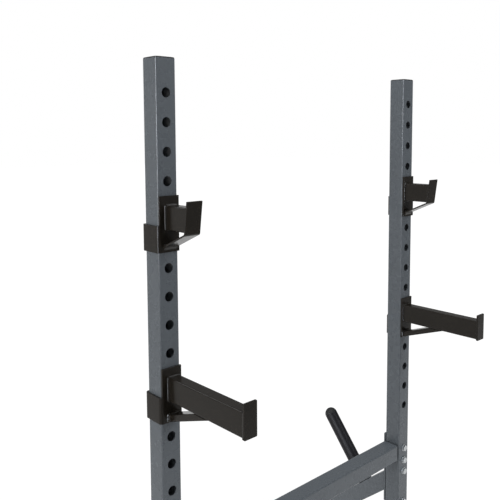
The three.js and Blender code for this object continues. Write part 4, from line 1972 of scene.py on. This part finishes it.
@dataclass
class Spotter(PinnedArm):
    """A long arm with a raised end plate and a brace of flat tube."""

    kind: str = "spotter"
    hole_index: int = 10
    end_plate_y: float = -278.7
    end_plate_thickness: float = 5.0
    end_plate_width: float = 34.0
    end_plate_offset: float = 6.0
    end_plate_above_arm: float = 17.8
    end_plate_below_arm: float = 2.5
    end_plate_corner: float = 2.0
    brace_depth: float = 15.5
    brace_wall: float = 2.0
    brace_corner: float = 2.0
    brace_inner_corner: float = 1.0
    brace_below_pin: float = 81.5
    brace_slope_degrees: float = 19.3
    plate_weld: FilletWeld = field(default_factory=lambda: FilletWeld(leg=3.0, scale_pitch=2.4))
    brace_weld: FilletWeld = field(default_factory=lambda: FilletWeld(leg=5.0, scale_pitch=2.8))

    @property
    def arm_end(self) -> Cut:
        """The plane that ends the arm tube at its end plate."""
        return Cut((0, self.end_plate_y + SEAT_GAP, 0), (0, 1, 0))

    @property
    def arm_bottom(self) -> float:
        """Height of the arm's lower side."""
        return self.arm_centre - self.arm_height / 2

    @property
    def brace_up(self) -> Point:
        """The direction up along the brace, away from the bracket."""
        slope = math.radians(self.brace_slope_degrees)
        return (0.0, -math.cos(slope), math.sin(slope))

    def brace(self, bm: bmesh.types.BMesh) -> None:
        """Adds the brace, cut off plumb at the bracket and level under the arm.

        Args:
            bm: The mesh that gets the brace.
        """
        plumb = Cut((0, self.plate_face - SEAT_GAP, 0), (0, 1, 0))
        level = Cut((0, 0, self.arm_bottom - SEAT_GAP), (0, 0, 1))
        centre = (self.arm_offset, self.plate_face, self.pin_height - self.brace_below_pin)
        run = TubeRun(
            self.side, self.arm_width, self.brace_depth, self.brace_wall, self.brace_corner,
            self.brace_inner_corner, centre, self.brace_up, (plumb, level),
        )
        run.build(bm)

    def end_plate(self, bm: bmesh.types.BMesh) -> None:
        """Adds the end plate.

        Args:
            bm: The mesh that gets the plate.
        """
        half = self.end_plate_width / 2
        low = (self.end_plate_offset - half, self.arm_bottom - self.end_plate_below_arm)
        high = (self.end_plate_offset + half, self.arm_bottom + self.arm_height + self.end_plate_above_arm)
        outline = plate_outline(low, high, self.end_plate_corner)
        front = self.end_plate_y - self.end_plate_thickness
        draw_out(bm, self.side, View.FRONT, outline, front, self.end_plate_y)

    def welds(self, bm: bmesh.types.BMesh) -> None:
        """Adds the welds at the bracket, at the end plate and at both ends of the brace.

        Args:
            bm: The mesh that gets the welds.
        """
        super().welds(bm)
        spare = (self.end_plate_width - self.arm_width) / 2
        shift = self.end_plate_offset - self.arm_offset
        plate = self.arm_seam(lambda _: self.end_plate_y, 1.0, Margins(spare - shift, spare + shift))
        self.plate_weld.lay(bm, plate, closed=True)
        slope = math.radians(self.brace_slope_degrees)
        height = self.brace_depth / math.cos(slope)
        under_brace = self.below_pin - self.brace_below_pin - height / 2
        foot = TubeSeam(
            self.arm_offset, self.pin_height - self.brace_below_pin, self.arm_width, height,
            self.brace_corner, lambda _: self.plate_face, self.brace_up,
            Margins(inner=self.weld_room, below=under_brace),
        )
        self.brace_weld.lay(bm, foot.points(self.side), closed=True)
        rise = self.brace_below_pin + self.arm_above_pin - self.arm_height + height / 2
        front_y = self.plate_face - rise / math.tan(slope)
        half = self.arm_width / 2 - self.brace_corner
        start = (self.arm_offset - half, front_y, self.arm_bottom)
        end = (self.arm_offset + half, front_y, self.arm_bottom)
        back = tuple(-Vector(self.brace_up))
        self.plate_weld.lay(bm, straight_seam(self.side, start, end, (0, -1, 0), back))

    def build(self, shop: Workshop) -> None:
        """Makes the spotter's pieces.

        Args:
            shop: Makes the pieces.
        """
        super().build(shop)
        plate, brace = f"{self.name}_end_plate", f"{self.name}_brace"
        shop.piece(f"{plate}_steel", self.name, BLACK_PAINT, self.end_plate, [plate], edge=PLATE_EDGE)
        shop.piece(f"{brace}_tube", self.name, BLACK_PAINT, self.brace, [brace])


class LampRays(Enum):
    """What a lamp's light shows in."""

    ALL = "all surfaces"
    GLOSS = "reflections alone"
    MATT = "matt light alone"


@dataclass(frozen=True)
class SoftLamp:
    """A soft rectangular lamp. Its place, its size and its target are in metres, its power in watts."""

    name: str
    place: Point
    size: tuple[float, float]
    power: float
    colour: Colour
    rays: LampRays = LampRays.ALL
    target: Point = (0.0, 0.0, 1.2)

    def hang(self) -> None:
        """Adds the lamp to the scene, where the camera doesn't see it."""
        data = bpy.data.lights.new(self.name, "AREA")
        data.shape = "RECTANGLE"
        data.size, data.size_y = self.size
        data.energy = self.power
        data.color = self.colour
        lamp = bpy.data.objects.new(self.name, data)
        lamp.location = self.place
        lamp.rotation_mode = "QUATERNION"
        lamp.rotation_quaternion = (Vector(self.target) - Vector(self.place)).to_track_quat("-Z", "Y")
        lamp.visible_camera = False
        lamp.visible_diffuse = self.rays is not LampRays.GLOSS
        lamp.visible_glossy = self.rays is not LampRays.MATT
        bpy.context.scene.collection.objects.link(lamp)
        log.info("hung lamp %s", self.name)


PURE_WHITE = (1.0, 1.0, 1.0)
WARM_WHITE = (1.0, 0.98, 0.96)
COOL_WHITE = (0.94, 0.97, 1.0)
BLUE_WHITE = (0.82, 0.88, 1.0)
LAMPS = (
    SoftLamp("key_lamp", (-8.0, 0.0, 2.3), (2.4, 4.0), 290.0, WARM_WHITE, target=(0.0, 0.0, 1.3)),
    SoftLamp("edge_lamp", (-7.52, -2.74, 2.2), (0.9, 4.0), 540.0, BLUE_WHITE, LampRays.GLOSS),
    SoftLamp("rim_lamp", (-2.2, 3.2, 3.2), (1.0, 1.6), 40.0, COOL_WHITE, LampRays.MATT),
    SoftLamp("sheen_lamp", (-2.1, 3.3, 4.1), (1.0, 1.6), 26.0, COOL_WHITE, LampRays.GLOSS),
    SoftLamp("front_lamp", (1.2, -3.0, 3.4), (1.6, 1.6), 60.0, COOL_WHITE),
    SoftLamp("top_lamp", (0.0, 0.3, 4.2), (2.4, 2.4), 40.0, PURE_WHITE),
)


@dataclass(frozen=True)
class StudioCamera:
    """The camera at the photograph's viewing angle. Its place is in metres."""

    place: Point = (-1.2565, -1.1828, 1.558)
    yaw_degrees: float = 42.557
    pitch_degrees: float = 4.744
    roll_degrees: float = -0.275
    lens: float = 46.66
    sensor_width: float = 36.0
    shift: tuple[float, float] = (-0.00926, -0.12172)
    clip: tuple[float, float] = (0.05, 100.0)

    def set_up(self) -> None:
        """Adds the camera and makes it the scene's own."""
        degrees = (self.yaw_degrees, self.pitch_degrees, self.roll_degrees)
        yaw, pitch, roll = (math.radians(angle) for angle in degrees)
        forward = Vector((math.sin(yaw) * math.cos(pitch), math.cos(yaw) * math.cos(pitch), -math.sin(pitch)))
        level = Vector((math.cos(yaw), -math.sin(yaw), 0.0))
        above = level.cross(forward)
        right = level * math.cos(roll) + above * math.sin(roll)
        up = above * math.cos(roll) - level * math.sin(roll)
        data = bpy.data.cameras.new("camera")
        data.lens = self.lens
        data.sensor_width = self.sensor_width
        data.shift_x, data.shift_y = self.shift
        data.clip_start, data.clip_end = self.clip
        camera = bpy.data.objects.new("camera", data)
        turn = Matrix((right, up, -forward)).transposed()
        camera.matrix_world = Matrix.Translation(self.place) @ turn.to_4x4()
        bpy.context.scene.collection.objects.link(camera)
        bpy.context.scene.camera = camera
        log.info("set the camera")


@dataclass(frozen=True)
class Studio:
    """A white room and its pale floor, with the lamps and the camera. Places are in metres."""

    ambient: float = 0.42
    sky_height: Ramp = Ramp(0.02, 0.24, (1.0, 0.25))
    sky_depth: Ramp = Ramp(-0.5, 0.8, (0.26, 0.85))
    sky_breadth: Ramp = Ramp(-0.6, 0.0, (0.55, 1.0))
    floor_half: float = 30.0
    floor_grey: float = 0.9
    floor_glow: float = 1.06
    floor_glow_share: Ramp = Ramp(0.75, 1.15, (0.5, 1.0))
    floor_gloss_depth: Ramp = Ramp(-2.2, -0.7, (0.22, 0.95))
    floor_gloss_breadth: Ramp = Ramp(-1.6, -0.4, (0.5, 1.0))

    def world(self) -> None:
        """Makes the world white where the camera sees it, and softer where it lights the stand.

        In paint and metal it is white near the horizon, and darker towards the ceiling, the front and
        the left.
        """
        world = bpy.data.worlds.new("studio")
        bpy.context.scene.world = world
        world.use_nodes = True
        graph = NodeGraph(world.node_tree)
        way = graph.add("ShaderNodeSeparateXYZ", Vector=graph.add("ShaderNodeTexCoord").outputs["Generated"])
        height = graph.ranged(way.outputs["Z"], self.sky_height)
        depth = graph.ranged(way.outputs["Y"], self.sky_depth)
        breadth = graph.ranged(way.outputs["X"], self.sky_breadth)
        gloss = graph.maths("MULTIPLY", height, graph.maths("MULTIPLY", depth, breadth))
        shown = graph.blended(graph.mirrored(), self.ambient, gloss)
        strength = graph.blended(graph.seen(), shown, 1.0)
        light = graph.add("ShaderNodeBackground", Color=rgba(PURE_WHITE), Strength=strength)
        graph.add("ShaderNodeOutputWorld", Surface=light.outputs[0])

    def floor_material(self) -> bpy.types.Material:
        """A pale floor that keeps the stand's shadow near it and melts into the white room farther off.

        In paint and metal it is darker towards the front and the left.

        Returns:
            The floor's material.
        """
        material = bpy.data.materials.new("studio_floor")
        material.use_nodes = True
        graph = NodeGraph(material.node_tree)
        grey = self.floor_grey
        matt = graph.add("ShaderNodeBsdfDiffuse", Color=(grey, grey, grey, 1.0))
        place = graph.add("ShaderNodeNewGeometry").outputs["Position"]
        spot = graph.add("ShaderNodeSeparateXYZ", Vector=place)
        depth = graph.ranged(spot.outputs["Y"], self.floor_gloss_depth)
        breadth = graph.ranged(spot.outputs["X"], self.floor_gloss_breadth)
        mirrored = graph.mirrored()
        strength = graph.blended(mirrored, self.floor_glow, graph.maths("MULTIPLY", depth, breadth))
        glow = graph.add("ShaderNodeEmission", Strength=strength)
        reach = graph.add("ShaderNodeVectorMath", {"operation": "LENGTH"})
        graph.feed(reach, 0, place)
        glow_share = graph.ranged(reach.outputs["Value"], self.floor_glow_share)
        share = graph.maths("MAXIMUM", graph.maths("MULTIPLY", graph.seen(), glow_share), mirrored)
        mix = graph.add("ShaderNodeMixShader")
        for index, value in enumerate((share, matt.outputs[0], glow.outputs[0])):
            graph.feed(mix, index, value)
        graph.add("ShaderNodeOutputMaterial", Surface=mix.outputs[0])
        return material

    def floor(self) -> None:
        """Lays the floor."""
        half = self.floor_half
        corners = [(-half, -half, 0), (half, -half, 0), (half, half, 0), (-half, half, 0)]
        mesh = bpy.data.meshes.new("studio_floor")
        mesh.from_pydata(corners, [], [(0, 1, 2, 3)])
        mesh.materials.append(self.floor_material())
        floor = bpy.data.objects.new("studio_floor", mesh)
        bpy.context.scene.collection.objects.link(floor)
        log.info("laid the floor")

    def build(self) -> None:
        """Sets the camera, the world and the floor, and hangs the lamps."""
        bpy.context.scene.view_settings.view_transform = "Standard"
        StudioCamera().set_up()
        self.world()
        self.floor()
        for lamp in LAMPS:
            lamp.hang()


def clear_scene() -> None:
    """Removes what a new Blender scene starts with."""
    for thing in list(bpy.data.objects):
        bpy.data.objects.remove(thing)


def main() -> None:
    """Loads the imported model, dresses it and builds the studio."""
    clear_scene()
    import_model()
    shop = Workshop()
    for side in Side:
        for assembly in (Upright(side), Foot(side), RearBrace(side), Hook(side), Spotter(side)):
            assembly.build(shop)
    CrossMember().build(shop)
    Studio().build()
    log.info("made %d pieces", shop.made)


if __name__ == "__main__":
    logging.basicConfig(level=logging.INFO, format="%(name)s: %(message)s")
    main()
